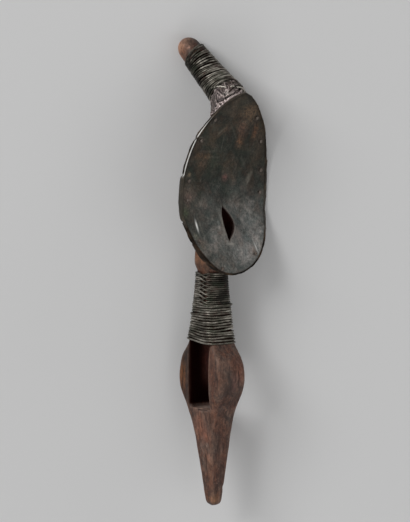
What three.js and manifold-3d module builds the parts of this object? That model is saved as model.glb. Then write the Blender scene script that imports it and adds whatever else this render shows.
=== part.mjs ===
// A guardian figure for a reliquary: a wooden core with a spoon-shaped face, clad in sheet metal, and
// wire wound round its neck and its swept-back chignon. Millimetres, +Z up.
//
// It is designed upright, in a frame of its own: the foot's tip at the origin, the face looking along -Y
// and the two sides alike about X = 0. The last group lays it down on its back and side, where it rests
// on the lozenge, the rim of the face and the chignon.
import * as THREE from 'three';
import { mergeVertices } from 'three/addons/utils/BufferGeometryUtils.js';
import Module from 'manifold-3d';

const wasm = await Module();
wasm.setup();

// Gap that pieces laid against each other keep.
const GAP = 0.3;

// The wooden shaft from the tip upwards: the tang, the lozenge, the neck and the spine behind the face.
// Each station has its height, half its width (X) and depth (Y), the radius of its corners, and how far
// its middle lies forward of the neck's axis.
const SHAFT = [
  { z: 0, width: 3.6, depth: 3.6, corner: 1.6, forward: 2.2 },
  { z: 2.4, width: 5.1, depth: 5.1, corner: 2, forward: 2.2 },
  { z: 32, width: 8.3, depth: 8.6, corner: 2.4, forward: 1.6 },
  { z: 66, width: 11.5, depth: 13.6, corner: 3, forward: 0.7 },
  { z: 84, width: 12.9, depth: 19.4, corner: 3.4, forward: -0.4 },
  { z: 100, width: 13.6, depth: 27.9, corner: 3.4, forward: -0.5 },
  { z: 113, width: 13.6, depth: 30, corner: 3.4, forward: 0 },
  { z: 126, width: 13.6, depth: 26.9, corner: 3.4, forward: 0 },
  { z: 140, width: 12.9, depth: 18, corner: 4.3, forward: -0.8 },
  { z: 160, width: 12.2, depth: 14.4, corner: 6, forward: -0.6 },
  { z: 200.4, width: 10.8, depth: 12.2, corner: 9.4, forward: -0.2 },
  { z: 209, width: 12.8, depth: 14.4, corner: 9, forward: 1 },
  { z: 256, width: 14, depth: 9.5, corner: 7, forward: 3.5 },
  { z: 290, width: 14, depth: 9, corner: 7, forward: 7 },
  { z: 315, width: 14.5, depth: 10, corner: 8, forward: 13 },
  { z: 332, width: 12, depth: 9, corner: 8.5, forward: 20 },
  { z: 342, width: 10.5, depth: 8, corner: 7.5, forward: 24 },
];
const CORNER_POINTS = 5;

// The window through the lozenge, from side to side.
const WINDOW = { ledge: 84.7, top: 145, halfDepth: 13 };

// The face: an oval below its widest level, rising to a blunt point above it.
const FACE = { level: 262.4, halfWidth: 45.2, above: 91.5, below: 62.2 };
const GABLE = { fullness: 2.8, point: 1.35 };
// How far the face lies forward of the neck's axis: least at `level`, leaning out to the crown and chin.
const LEAN = { level: 259, least: 16.6, crown: 29.2, crownPower: 1.95, chin: 14.2, chinReach: 53 };
// The lips swell from the face round the mouth, a pointed slit between two arcs.
const LIPS = { level: 241.5, swell: 7, halfWidth: 9.5, halfHeight: 12 };
const MOUTH = { side: -1, level: 242.5, halfWidth: 5, halfHeight: 13.6, hollow: 8 };
// The wooden head behind the face: its rim is thicker at the chin, and its back is domed.
const RIM = { thickness: 3.7, atChin: 8.2, chinFrom: 246, chinReach: 36, dome: 11 };
const BACK_SHARES = [0.15, 0.42, 0.68, 0.87, 1];
const SHEET = 0.9;
const FACE_POINTS = 44;
const FACE_RINGS = 8;

// The chignon's axis, from the crown to the middle of its round tip.
const CHIGNON_BASE = new THREE.Vector3(0, -19.3, 352.3);
const CHIGNON_BEND = new THREE.Vector3(0, 2.3, 368.5);
const CHIGNON_END = new THREE.Vector3(-9, 20.4, 390.4);
const CHIGNON = { root: 2, baseRadius: 13, tipRadius: 9.6, points: 16, rings: 8, domeRings: 3 };

// The collar of crumpled sheet: its lower edge, from the brow round one side to the nape.
const COLLAR_EDGE = [
  [0, -39.4, 352.4],
  [13, -36.4, 346.2],
  [20, -30.5, 338],
  [16.5, -19.5, 334.5],
  [0, -8.6, 332],
];
const COLLAR = { thickness: 0.8, points: 24, rings: 3, middle: new THREE.Vector3(0, -25, 339) };

// The windings, as sleeves with one rib for each turn of wire.
const NECK_WIRE = { from: 140, to: 200.4, turns: 26, wire: 1.7, sag: 3.2, sagReach: 7 };
const CHIGNON_WIRE = { from: 0.03, to: 0.88, turns: 22, wire: 1.5 };

// The tacks round the face: height, and side (1 is +X).
const TACK = { radius: 1.5, height: 0.8, inset: 6.5, sides: 6 };
const TACKS = [
  [332, 1], [312, 1], [287, 1], [268, 1], [217, 1],
  [331, -1], [314, -1], [280, -1], [264, -1], [230, -1], [206, -1],
];

// The direction, in the figure's own frame, that is down when it lies. It is square to the plane through
// the lozenge's corner, the rim of the face and the chignon's tip, and each is worn flat there.
const LYING_DOWN = new THREE.Vector3(0.7079, 0.705, 0.0435).normalize();
const WORN_FLAT = 0.5;

const WOOD = { color: 0x4a2c1c, roughness: 0.6, metalness: 0 };
const COPPER = { color: 0x3a362e, roughness: 0.45, metalness: 0.7 };
const CRUMPLED = { color: 0x7a6258, roughness: 0.6, metalness: 0.5 };
const WIRE = { color: 0x55554a, roughness: 0.4, metalness: 0.8 };
const IRON = { color: 0x6a5040, roughness: 0.6, metalness: 0.5 };

// The value of one field at height z, on a smooth curve through the stations.
function fieldAt(stations, field, z) {
  const last = stations.length - 1;
  let i = 0;
  while (i < last - 1 && stations[i + 1].z < z) i += 1;
  const slope = (k) => {
    const below = stations[Math.max(k - 1, 0)];
    const above = stations[Math.min(k + 1, last)];
    return (above[field] - below[field]) / (above.z - below.z);
  };
  const span = stations[i + 1].z - stations[i].z;
  const t = (z - stations[i].z) / span;
  const rise = t * t * (3 - 2 * t);
  return stations[i][field] * (1 - rise) + stations[i + 1][field] * rise
    + span * t * (1 - t) * ((1 - t) * slope(i) - t * slope(i + 1));
}

// The heights of the shaft's rings: one at each station and one between each two.
const shaftHeights = SHAFT.flatMap(({ z }, i) => (i ? [(SHAFT[i - 1].z + z) / 2, z] : [z]));

// One horizontal ring of the shaft, a rectangle with round corners, grown outwards by `grow`.
function shaftRing(z, grow = 0) {
  const corner = fieldAt(SHAFT, 'corner', z);
  const width = fieldAt(SHAFT, 'width', z) - corner;
  const depth = fieldAt(SHAFT, 'depth', z) - corner;
  const middle = -fieldAt(SHAFT, 'forward', z);
  const ring = [];
  for (let quarter = 0; quarter < 4; quarter += 1) {
    const sideX = quarter === 0 || quarter === 3 ? 1 : -1;
    const sideY = quarter < 2 ? 1 : -1;
    for (let i = 0; i < CORNER_POINTS; i += 1) {
      const angle = (quarter + i / (CORNER_POINTS - 1)) * Math.PI / 2;
      ring.push(new THREE.Vector3(
        sideX * width + (corner + grow) * Math.cos(angle),
        middle + sideY * depth + (corner + grow) * Math.sin(angle),
        z,
      ));
    }
  }
  return ring;
}

// A surface through rings of points that each run anticlockwise, seen from where the rings lead. A tyre
// closes on itself, and any other surface is closed at both ends. Each four-sided face is split along its
// shorter diagonal.
function skin(rings, tyre = false) {
  const count = rings[0].length;
  const points = rings.flat();
  const index = [];
  const joins = tyre ? rings.length : rings.length - 1;
  for (let r = 0; r < joins; r += 1) {
    for (let i = 0; i < count; i += 1) {
      const a = r * count + i;
      const b = r * count + (i + 1) % count;
      const c = ((r + 1) % rings.length) * count + (i + 1) % count;
      const d = ((r + 1) % rings.length) * count + i;
      if (points[a].distanceTo(points[c]) < points[b].distanceTo(points[d])) index.push(a, b, c, a, c, d);
      else index.push(a, b, d, b, c, d);
    }
  }
  if (!tyre) {
    for (const [first, step] of [[0, -1], [(rings.length - 1) * count, 1]]) {
      const middle = new THREE.Vector3();
      for (let i = 0; i < count; i += 1) middle.addScaledVector(points[first + i], 1 / count);
      points.push(middle);
      for (let i = 0; i < count; i += 1) {
        const next = first + (i + 1) % count;
        if (step > 0) index.push(first + i, next, points.length - 1);
        else index.push(next, first + i, points.length - 1);
      }
    }
  }
  const geometry = new THREE.BufferGeometry().setFromPoints(points);
  geometry.setIndex(index);
  return geometry;
}

// A closed geometry as a solid that can be joined and cut.
function toSolid(geometry) {
  const bare = geometry.clone();
  bare.deleteAttribute('normal');
  bare.deleteAttribute('uv');
  const merged = mergeVertices(bare, 1e-3);
  return new wasm.Manifold(new wasm.Mesh({
    numProp: 3,
    vertProperties: merged.attributes.position.array,
    triVerts: new Uint32Array(merged.index.array),
  }));
}

function toGeometry(solid) {
  const mesh = solid.getMesh();
  const geometry = new THREE.BufferGeometry();
  geometry.setAttribute('position', new THREE.BufferAttribute(mesh.vertProperties, 3));
  geometry.setIndex(new THREE.BufferAttribute(mesh.triVerts, 1));
  return geometry;
}

const smooth = (t) => {
  const held = THREE.MathUtils.clamp(t, 0, 1);
  return held * held * (3 - 2 * held);
};

// How far the face lies forward of the neck's axis at height z.
function faceLean(z) {
  if (z < LEAN.level) return LEAN.least + LEAN.chin * smooth((LEAN.level - z) / LEAN.chinReach);
  const rise = (z - LEAN.level) / (FACE.level + FACE.above - LEAN.level);
  return LEAN.least + LEAN.crown * rise ** LEAN.crownPower;
}

// The same with the lips.
function faceForward(x, z) {
  const fall = ((x - MOUTH.side) / LIPS.halfWidth) ** 2 + ((z - LIPS.level) / LIPS.halfHeight) ** 2;
  return faceLean(z) + LIPS.swell * Math.exp(-fall);
}

// Half the face's width at a share of the height above or below its widest level.
function halfWidthAt(share) {
  if (share < 0) return FACE.halfWidth * Math.sqrt(1 - share ** 2);
  return FACE.halfWidth * (1 - share ** GABLE.fullness) ** (1 / GABLE.point);
}

// The face's outline in the direction `angle`, moved in by `inset`.
function outlinePoint(angle, inset) {
  const rise = THREE.MathUtils.clamp(Math.sin(angle), -1, 1);
  const height = (rise > 0 ? FACE.above : FACE.below) - inset;
  const side = Math.abs(Math.cos(angle)) < 1e-9 ? 0 : Math.sign(Math.cos(angle));
  const narrowed = (FACE.halfWidth - inset) / FACE.halfWidth;
  return new THREE.Vector2(side * narrowed * halfWidthAt(rise), FACE.level + height * rise);
}

// The mouth's edge in the direction `angle`: two arcs that meet in points above and below.
function mouthPoint(angle) {
  const rise = Math.sin(angle);
  const open = (1 - Math.abs(rise) ** 1.6) * Math.sign(Math.cos(angle));
  return new THREE.Vector2(MOUTH.side + MOUTH.halfWidth * open, MOUTH.level + MOUTH.halfHeight * rise);
}

// A ring on the face's surface, from the mouth (0) to the outline (1), sunk below it by `inset`.
function faceRing(share, inset) {
  return Array.from({ length: FACE_POINTS }, (_, i) => {
    const angle = 2 * Math.PI * i / FACE_POINTS;
    const flat = mouthPoint(angle).lerp(outlinePoint(angle, inset), share);
    const slopeX = faceForward(flat.x + 1, flat.y) - faceForward(flat.x, flat.y);
    const slopeZ = faceForward(flat.x, flat.y + 1) - faceForward(flat.x, flat.y);
    const sunk = inset * Math.hypot(1, slopeX, slopeZ);
    return new THREE.Vector3(flat.x, sunk - faceForward(flat.x, flat.y), flat.y);
  });
}

const rimThickness = (z) => RIM.thickness
  + (RIM.atChin - RIM.thickness) * smooth((RIM.chinFrom - z) / RIM.chinReach);

// A ring of the wooden head's back: on the rim at 1, and up the dome towards its middle at 0.
function headBackRing(share, inset) {
  return faceRing(1, inset).map((edge) => {
    const z = FACE.level + (edge.z - FACE.level) * share;
    const dome = RIM.dome * (1 - share ** 2) ** 0.8;
    return new THREE.Vector3(edge.x * share, rimThickness(z) + dome - faceLean(z), z);
  });
}

// The face's rings lie closer together round the mouth.
const shares = Array.from({ length: FACE_RINGS + 1 }, (_, i) => (i / FACE_RINGS) ** 1.3);

// The wooden head: the back of the dome, out to the rim, and in again over the front.
function headSolid() {
  const inset = SHEET + GAP;
  const back = BACK_SHARES.map((share) => headBackRing(share, inset));
  const front = [...shares].reverse().map((share) => faceRing(share, inset));
  return toSolid(skin([...back, ...front]));
}

// The sheet over the face, with the mouth cut out and its border folded back over the rim.
function faceSheet() {
  const layer = (inset) => [
    ...shares.map((share) => faceRing(share, inset)),
    faceRing(1, inset).map(({ x, z }) => new THREE.Vector3(x, rimThickness(z) - faceForward(x, z), z)),
  ];
  return skin([...layer(SHEET), ...layer(0).reverse()], true);
}

// The pointed hollow behind the mouth.
function mouthCutter() {
  const deep = (forward) => Array.from({ length: FACE_POINTS }, (_, i) => {
    const flat = mouthPoint(2 * Math.PI * i / FACE_POINTS);
    return new THREE.Vector3(flat.x, -forward, flat.y);
  });
  const face = faceForward(0, MOUTH.level);
  return toSolid(skin([deep(face - MOUTH.hollow), deep(face + LIPS.swell)]));
}

// The chignon's axis and radius of wood, from its base (0) to the middle of its round tip (1).
const chignonAxis = new THREE.QuadraticBezierCurve3(CHIGNON_BASE, CHIGNON_BEND, CHIGNON_END);
const chignonRadius = (t) => THREE.MathUtils.lerp(CHIGNON.baseRadius, CHIGNON.tipRadius, t ** 0.9);

// A round ring square to a direction.
function roundRing(middle, direction, radius, count) {
  const across = new THREE.Vector3(1, 0, 0).addScaledVector(direction, -direction.x).normalize();
  const along = direction.clone().cross(across);
  return Array.from({ length: count }, (_, i) => {
    const angle = 2 * Math.PI * i / count;
    return middle.clone()
      .addScaledVector(across, radius * Math.cos(angle))
      .addScaledVector(along, radius * Math.sin(angle));
  });
}

const chignonRing = (t, grow = 0) => roundRing(
  chignonAxis.getPoint(t), chignonAxis.getTangent(t), chignonRadius(t) + grow, CHIGNON.points,
);

const chignonPlaces = Array.from({ length: CHIGNON.rings + 1 }, (_, i) => i / CHIGNON.rings);

function chignonSolid() {
  const sunk = chignonAxis.getTangent(0).multiplyScalar(-CHIGNON.root);
  const rings = [chignonRing(0, -CHIGNON.root).map((point) => point.add(sunk))];
  rings.push(...chignonPlaces.map((place) => chignonRing(place)));
  const outwards = chignonAxis.getTangent(1);
  for (let i = 1; i <= CHIGNON.domeRings; i += 1) {
    const angle = (i / (CHIGNON.domeRings + 0.5)) * Math.PI / 2;
    const middle = CHIGNON_END.clone().addScaledVector(outwards, CHIGNON.tipRadius * Math.sin(angle));
    rings.push(roundRing(middle, outwards, CHIGNON.tipRadius * Math.cos(angle), CHIGNON.points));
  }
  return toSolid(skin(rings));
}

// A ring of the crown, from the collar's lower edge (0) to the chignon (1), moved in by `inset`.
const collarEdge = new THREE.CatmullRomCurve3([
  ...COLLAR_EDGE.map(([x, y, z]) => new THREE.Vector3(x, y, z)),
  ...COLLAR_EDGE.slice(1, -1).reverse().map(([x, y, z]) => new THREE.Vector3(-x, y, z)),
], true);

function crownRing(share, inset) {
  const top = chignonAxis.getPoint(0);
  const direction = chignonAxis.getTangent(0);
  const around = roundRing(top, direction, CHIGNON.baseRadius + GAP + COLLAR.thickness - inset, COLLAR.points);
  return around.map((upper, i) => {
    // The chignon's ring starts on the +X side, a quarter of the way round the edge from the brow.
    const lower = collarEdge.getPoint((i / COLLAR.points + 0.25) % 1);
    lower.addScaledVector(COLLAR.middle.clone().sub(lower).normalize(), inset);
    return lower.lerp(upper, share);
  });
}

function crownSolid() {
  const inset = COLLAR.thickness + GAP;
  return toSolid(skin([0, 0.5, 1].map((share) => crownRing(share, inset))));
}

function collarSheet() {
  const steps = Array.from({ length: COLLAR.rings }, (_, i) => 0.02 + 0.96 * i / (COLLAR.rings - 1));
  const outer = steps.map((share) => crownRing(share, 0));
  const inner = steps.map((share) => crownRing(share, COLLAR.thickness)).reverse();
  return skin([...outer, ...inner], true);
}

// The carved wood, one piece from the tang's tip to the chignon's.
function woodCore() {
  const rings = shaftHeights.map((z) => shaftRing(z));
  const window = new THREE.BoxGeometry(80, 2 * WINDOW.halfDepth, WINDOW.top - WINDOW.ledge);
  window.translate(0, 0, (WINDOW.top + WINDOW.ledge) / 2);
  return toSolid(skin(rings))
    .subtract(toSolid(window))
    .add(headSolid())
    .add(crownSolid())
    .add(chignonSolid())
    .subtract(mouthCutter());
}

// A sleeve with a rib for each turn, made from a function that gives a ring at a place along it. Its
// inside follows the wood's own rings, at the places in `seats`.
function windingSleeve(ringAt, { from, to, turns, wire }, seats) {
  const outer = [];
  for (let turn = 0; turn < turns; turn += 1) {
    outer.push(ringAt(from + (to - from) * turn / turns, GAP + 0.45 * wire));
    outer.push(ringAt(from + (to - from) * (turn + 0.5) / turns, GAP + wire));
  }
  outer.push(ringAt(to, GAP + 0.45 * wire));
  const inside = [to, ...seats.filter((place) => place > from && place < to).reverse(), from];
  return skin([...outer, ...inside.map((place) => ringAt(place, GAP))], true);
}

// The neck's winding hangs slack where it crosses the window.
function neckRing(z, grow) {
  const slack = NECK_WIRE.sag * Math.exp(-(((z - NECK_WIRE.from) / NECK_WIRE.sagReach) ** 2));
  return shaftRing(z, grow).map((point) => {
    const beside = Math.max(0, 1 - (point.y / WINDOW.halfDepth) ** 2);
    return point.setZ(z - slack * beside);
  });
}

// One tack head, on the sheet and square to it.
function tack(height, side) {
  const share = (height - FACE.level) / (height > FACE.level ? FACE.above : FACE.below);
  const x = side * (halfWidthAt(share) - TACK.inset);
  const slopeX = faceForward(x + 1, height) - faceForward(x, height);
  const slopeZ = faceForward(x, height + 1) - faceForward(x, height);
  const out = new THREE.Vector3(-slopeX, -1, -slopeZ).normalize();
  const profile = [[0, 0], [TACK.radius, 0], [0.75 * TACK.radius, 0.75 * TACK.height], [0, TACK.height]];
  const head = new THREE.LatheGeometry(profile.map(([r, h]) => new THREE.Vector2(r, h)), TACK.sides);
  head.applyQuaternion(new THREE.Quaternion().setFromUnitVectors(new THREE.Vector3(0, 1, 0), out));
  const foot = new THREE.Vector3(x, -faceForward(x, height), height).addScaledVector(out, GAP);
  return head.translate(...foot);
}

// The turn that lays the figure down with its head towards +Y.
function layingTurn() {
  const up = LYING_DOWN.clone().negate();
  const head = new THREE.Vector3(0, 0, 1).projectOnPlane(up).normalize();
  const side = head.clone().cross(up);
  return new THREE.Matrix4().makeBasis(side, head, up).transpose();
}

function lowestOf(geometries, turn) {
  const box = new THREE.Box3();
  for (const geometry of geometries) {
    box.union(new THREE.Box3().setFromBufferAttribute(
      geometry.clone().applyMatrix4(turn).getAttribute('position'),
    ));
  }
  return box.min.z;
}

const pieces = [
  ['wood_core', toGeometry(woodCore()), WOOD],
  ['face_sheet', faceSheet(), COPPER],
  ['collar_sheet', collarSheet(), CRUMPLED],
  ['neck_wire', windingSleeve(neckRing, NECK_WIRE, shaftHeights), WIRE],
  ['chignon_wire', windingSleeve(chignonRing, CHIGNON_WIRE, chignonPlaces), WIRE],
  ...TACKS.map(([height, side], i) => [`tack_${i + 1}`, tack(height, side), IRON]),
];

const turn = layingTurn();
const floorSize = 1000;
const floorLevel = lowestOf(pieces.map(([, geometry]) => geometry), turn) + WORN_FLAT;
const belowFloor = toSolid(new THREE.BoxGeometry(floorSize, floorSize, floorSize)
  .translate(0, 0, floorLevel - floorSize / 2)
  .applyMatrix4(turn.clone().invert()));

const figure = new THREE.Group();
figure.setRotationFromMatrix(turn);
for (const [name, geometry, look] of pieces) {
  const worn = toGeometry(toSolid(geometry).subtract(belowFloor));
  const mesh = new THREE.Mesh(worn, new THREE.MeshStandardMaterial(look));
  mesh.name = name;
  figure.add(mesh);
}

// The middle of the figure's box lies over the origin, and its underside on the floor.
const laid = new THREE.Group();
laid.add(figure);
const reach = new THREE.Box3().setFromObject(laid, true);
const middle = reach.getCenter(new THREE.Vector3());
figure.position.set(-middle.x, -middle.y, -reach.min.z);

export default laid;
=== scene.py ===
import itertools
import math

import bpy
import numpy as np
from mathutils import Matrix, Vector


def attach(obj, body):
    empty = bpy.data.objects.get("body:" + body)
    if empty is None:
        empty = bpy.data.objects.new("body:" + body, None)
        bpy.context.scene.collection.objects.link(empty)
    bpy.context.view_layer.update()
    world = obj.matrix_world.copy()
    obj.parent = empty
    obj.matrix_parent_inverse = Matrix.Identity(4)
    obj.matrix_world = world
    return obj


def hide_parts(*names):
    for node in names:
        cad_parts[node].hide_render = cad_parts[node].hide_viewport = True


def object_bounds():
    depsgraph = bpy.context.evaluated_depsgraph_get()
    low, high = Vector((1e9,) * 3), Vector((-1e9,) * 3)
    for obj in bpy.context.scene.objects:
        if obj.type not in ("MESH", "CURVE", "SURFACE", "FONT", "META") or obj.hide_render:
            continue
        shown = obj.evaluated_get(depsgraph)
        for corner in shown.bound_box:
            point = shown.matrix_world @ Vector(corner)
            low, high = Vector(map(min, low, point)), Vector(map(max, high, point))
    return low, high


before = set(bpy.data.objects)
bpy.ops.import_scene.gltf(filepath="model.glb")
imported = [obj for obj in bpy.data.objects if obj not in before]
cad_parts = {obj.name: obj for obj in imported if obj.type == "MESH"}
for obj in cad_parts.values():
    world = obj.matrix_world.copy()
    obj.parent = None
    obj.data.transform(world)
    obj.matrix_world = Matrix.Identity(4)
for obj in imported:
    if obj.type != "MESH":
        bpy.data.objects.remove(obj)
cad_low, cad_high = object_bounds()

# The figure is shaped upright in a frame of its own, in millimetres: the foot's tip at the origin, +Z up
# and the face looking along -Y. It is laid down last, and everything else is in metres.
MM = 0.001
LYING_DOWN = np.array([0.7079, 0.705, 0.0435])
FIGURE_ORIGIN = np.array([-7.862, -199.549, 33.785])

# The shaft: height, half width, half depth, corner radius, and how far its middle lies forward.
SHAFT = np.array([
    (0, 3.6, 3.6, 1.6, 2.2),
    (2.4, 5.1, 5.1, 2, 2.2),
    (32, 8.3, 8.6, 2.4, 1.6),
    (66, 11.5, 13.6, 3, 0.7),
    (84, 12.9, 19.4, 3.4, -0.4),
    (100, 13.6, 27.9, 3.4, -0.5),
    (113, 13.6, 30, 3.4, 0),
    (126, 13.6, 26.9, 3.4, 0),
    (140, 12.9, 18, 4.3, -0.8),
    (160, 12.2, 14.4, 6, -0.6),
    (200.4, 10.8, 12.2, 9.4, -0.2),
    (209, 12.8, 14.4, 9, 1),
    (256, 14, 9.5, 7, 3.5),
    (290, 14, 9, 7, 7),
    (315, 14.5, 10, 8, 13),
    (332, 12, 9, 8.5, 20),
    (342, 10.5, 8, 7.5, 24),
])
WINDOW_LEDGE = 84.7
WINDOW_TOP = 145
WINDOW_HALF_DEPTH = 13
FRONT_ARM_EDGE = 1.4
REAR_ARM_EDGE = 2.6
ARM_BOW = 2.0
FOOT_ROUNDING = 4.5

FACE_LEVEL = 262.4
FACE_HALF_WIDTH = 45.2
FACE_ABOVE = 91.5
FACE_BELOW = 62.2
GABLE_FULLNESS = 2.8
GABLE_POINT = 1.35
LEAN_LEVEL = 259
LEAN_LEAST = 16.6
LEAN_CROWN = 29.2
LEAN_CROWN_POWER = 1.95
LEAN_CHIN = 14.2
LEAN_CHIN_REACH = 53
LIPS_SIDE = -1
LIPS_LEVEL = 241.5
LIPS_SWELL = 7
LIPS_SIZE = (9.5, 12)
MOUTH_SIDE = -2.8
MOUTH_LEVEL = 243.2
MOUTH_WIDTHS = (7.8, 4)
MOUTH_BOWS = (1.3, 1.7)
MOUTH_HALF_HEIGHT = 14.7
MOUTH_HOLLOW = 9.5
RIM_THICKNESS = 3.7
RIM_AT_CHIN = 8.2
RIM_CHIN_FROM = 246
RIM_CHIN_REACH = 36
HEAD_DOME = 11
SHEET = 0.9
GAP = 0.3

CHIGNON_BASE = np.array([0, -19.3, 352.3])
CHIGNON_BEND = np.array([0, 2.3, 368.5])
CHIGNON_END = np.array([-9, 20.4, 390.4])
CHIGNON_BASE_RADIUS = 13
CHIGNON_TIP_RADIUS = 9.6
COLLAR_EDGE = np.array([
    (0, -39.4, 352.4),
    (13, -36.4, 346.2),
    (20, -30.5, 338),
    (16.5, -19.5, 334.5),
    (0, -8.6, 332),
    (-16.5, -19.5, 334.5),
    (-20, -30.5, 338),
    (-13, -36.4, 346.2),
])
COLLAR_MIDDLE = np.array([0, -25, 339])
COLLAR_THICKNESS = 0.8

# Where the border of the face's sheet is cut into tabs, as heights on each side, from the top down, how far
# each tab stands off the wood, and how far in its fold runs at its middle.
TABS_TOP = 360
TABS_FOOT = 196
TABS_RIGHT = (341, 316, 285, 246, 228, 211)
TABS_LEFT = (344, 322, 296, 262, 236, 214)
TABS_PROUD = (0.2, 0.1, 0.0, 1.1, 0.5, 0.3, 0.1)
TAB_STRAIGHT = 0.45

TACKS = [
    (332, 1), (312, 1), (287, 1), (268, 1), (217, 1),
    (331, -1), (314, -1), (280, -1), (264, -1), (230, -1), (206, -1),
]
TACK_RADIUS = 1.6
TACK_SIDES = 20
TACK_HEIGHT = 0.6
TACK_INSET = 6.5

NECK_FROM = 140
NECK_TO = 203
NECK_WIRE = 1.7


def laying_turn():
    """The matrix that lays the figure down: its rows are the shared frame's axes in the figure's."""
    up = -LYING_DOWN / np.linalg.norm(LYING_DOWN)
    head = np.array([0, 0, 1]) - up * up[2]
    head /= np.linalg.norm(head)
    return np.array([np.cross(head, up), head, up])


TURN = laying_turn()


def laid(points):
    """Points of the figure, in the shared frame and in metres."""
    return (np.asarray(points) @ TURN.T + FIGURE_ORIGIN) * MM


def smooth(t):
    """An even rise from 0 to 1 while t goes from 0 to 1."""
    held = np.clip(t, 0, 1)
    return held * held * (3 - 2 * held)


def between(value, low, high, rise, fall):
    """1 from `low` to `high` and 0 outside, with soft ends inside them."""
    return smooth((value - low) / rise) * smooth((high - value) / fall)


def hump(away, width):
    """A soft hump: 1 where `away` is 0, and nearly 0 from twice the width on."""
    return np.exp(-(away / width) ** 2)


def turn_round(count):
    """Evenly spaced angles once round."""
    return np.linspace(0, 2 * math.pi, count, endpoint=False)


def unit(vectors):
    return vectors / np.maximum(np.linalg.norm(vectors, axis=-1, keepdims=True), 1e-9)


def noise(points, size, seed):
    """Smooth noise from -1 to 1, with features of `size` millimetres: one number, or one for each axis."""
    cells = points / np.asarray(size, float) + np.array([13.7, 5.1, 29.3]) * (seed + 1)
    base = np.floor(cells).astype(np.int64)
    share = cells - base
    share = share ** 3 * (share * (share * 6 - 15) + 10)
    total = np.zeros(len(points))
    for corner in itertools.product((0, 1), repeat=3):
        mixed = (base + corner) @ np.array([73856093, 19349663, 83492791]) + seed * 2654435761
        mixed = (mixed ^ (mixed >> 13)) * 1274126177 & 0xFFFFFFFF
        mixed = (mixed ^ (mixed >> 16)) & 0xFFFF
        weight = np.where(corner, share, 1 - share).prod(axis=1)
        total += weight * (mixed / 32767.5 - 1)
    return total


def shaft_slopes():
    """How the four measures of the shaft change with height, at each height that is given."""
    row = np.arange(len(SHAFT))
    step = SHAFT[np.minimum(row + 1, row[-1])] - SHAFT[np.maximum(row - 1, 0)]
    return step[:, 1:] / step[:, :1]


SHAFT_SLOPES = shaft_slopes()


def shaft_at(z):
    """Half width, half depth, corner radius and forward lean of the shaft at heights z."""
    i = np.clip(np.searchsorted(SHAFT[:, 0], np.atleast_1d(z)) - 1, 0, len(SHAFT) - 2)
    low, high = SHAFT[i], SHAFT[i + 1]
    span = (high - low)[:, :1]
    t = (np.atleast_1d(z)[:, None] - low[:, :1]) / span
    rise = t * t * (3 - 2 * t)
    bend = span * t * (1 - t) * ((1 - t) * SHAFT_SLOPES[i] - t * SHAFT_SLOPES[i + 1])
    return low[:, 1:] * (1 - rise) + high[:, 1:] * rise + bend


def shaft_point(z, angle, grow):
    """Points round the shaft at heights z in the directions `angle`, grown outwards by `grow`."""
    width, depth, corner, forward = shaft_at(z).T
    width, depth, corner = width + grow, depth + grow, corner + grow
    across, along = np.abs(np.cos(angle)), np.abs(np.sin(angle))
    side = width / np.maximum(across, 1e-6)
    front = depth / np.maximum(along, 1e-6)
    middle_x, middle_y = width - corner, depth - corner
    reach = across * middle_x + along * middle_y
    inside = reach ** 2 - middle_x ** 2 - middle_y ** 2 + corner ** 2
    radius = reach + np.sqrt(np.maximum(inside, 0))
    radius = np.where(side * along <= middle_y, side, radius)
    radius = np.where(front * across <= middle_x, front, radius)
    return np.stack([radius * np.cos(angle), radius * np.sin(angle) - forward, z], -1)


def face_lean(z):
    """How far forward the rim of the face lies at height z."""
    chin = LEAN_LEAST + LEAN_CHIN * smooth((LEAN_LEVEL - z) / LEAN_CHIN_REACH)
    rise = np.maximum(z - LEAN_LEVEL, 0) / (FACE_LEVEL + FACE_ABOVE - LEAN_LEVEL)
    return np.where(z < LEAN_LEVEL, chin, LEAN_LEAST + LEAN_CROWN * rise ** LEAN_CROWN_POWER)


def face_forward(x, z):
    """How far forward the face lies, with the lips' swell."""
    fall = ((x - LIPS_SIDE) / LIPS_SIZE[0]) ** 2 + ((z - LIPS_LEVEL) / LIPS_SIZE[1]) ** 2
    return face_lean(z) + LIPS_SWELL * np.exp(-fall)


def half_width_at(share):
    """The face's half width, from its chin (-1) by its widest level (0) to its gable's point (1)."""
    below = np.sqrt(np.maximum(1 - share ** 2, 0))
    above = np.maximum(1 - np.maximum(share, 0) ** GABLE_FULLNESS, 0) ** (1 / GABLE_POINT)
    return FACE_HALF_WIDTH * np.where(share < 0, below, above)


def side_of(angle):
    """1 on the figure's left, -1 on its right and 0 on its middle line."""
    across = np.cos(angle)
    return np.where(np.abs(across) < 1e-9, 0, np.sign(across))


def tab_place(x, z):
    """Which tab of the border a point belongs to, and how far down it the point lies, from 0 to 1."""
    number, along = np.zeros((2, len(x)))
    for side, heights in ((-1, TABS_RIGHT), (1, TABS_LEFT)):
        ends = (TABS_TOP, *heights, TABS_FOOT)
        for k, (top, bottom) in enumerate(zip(ends, ends[1:])):
            here = (np.sign(x + 1e-6) == side) & (z <= top) & (z > bottom)
            number[here] = k
            along[here] = (top - z[here]) / (top - bottom)
    return number, along


def outline_point(angle, inset):
    """The face's outline in the directions `angle`, as x and z. Its tabs are folded along straight lines."""
    rise = np.sin(angle)
    x = side_of(angle) * half_width_at(rise)
    z = FACE_LEVEL + np.where(rise > 0, FACE_ABOVE, FACE_BELOW) * rise
    number, along = tab_place(x, z)
    total = inset + TAB_STRAIGHT * 4 * along * (1 - along) * ((number > 0) & (number < 5))
    return np.array([x * (FACE_HALF_WIDTH - total) / FACE_HALF_WIDTH, z - rise * total])


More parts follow.
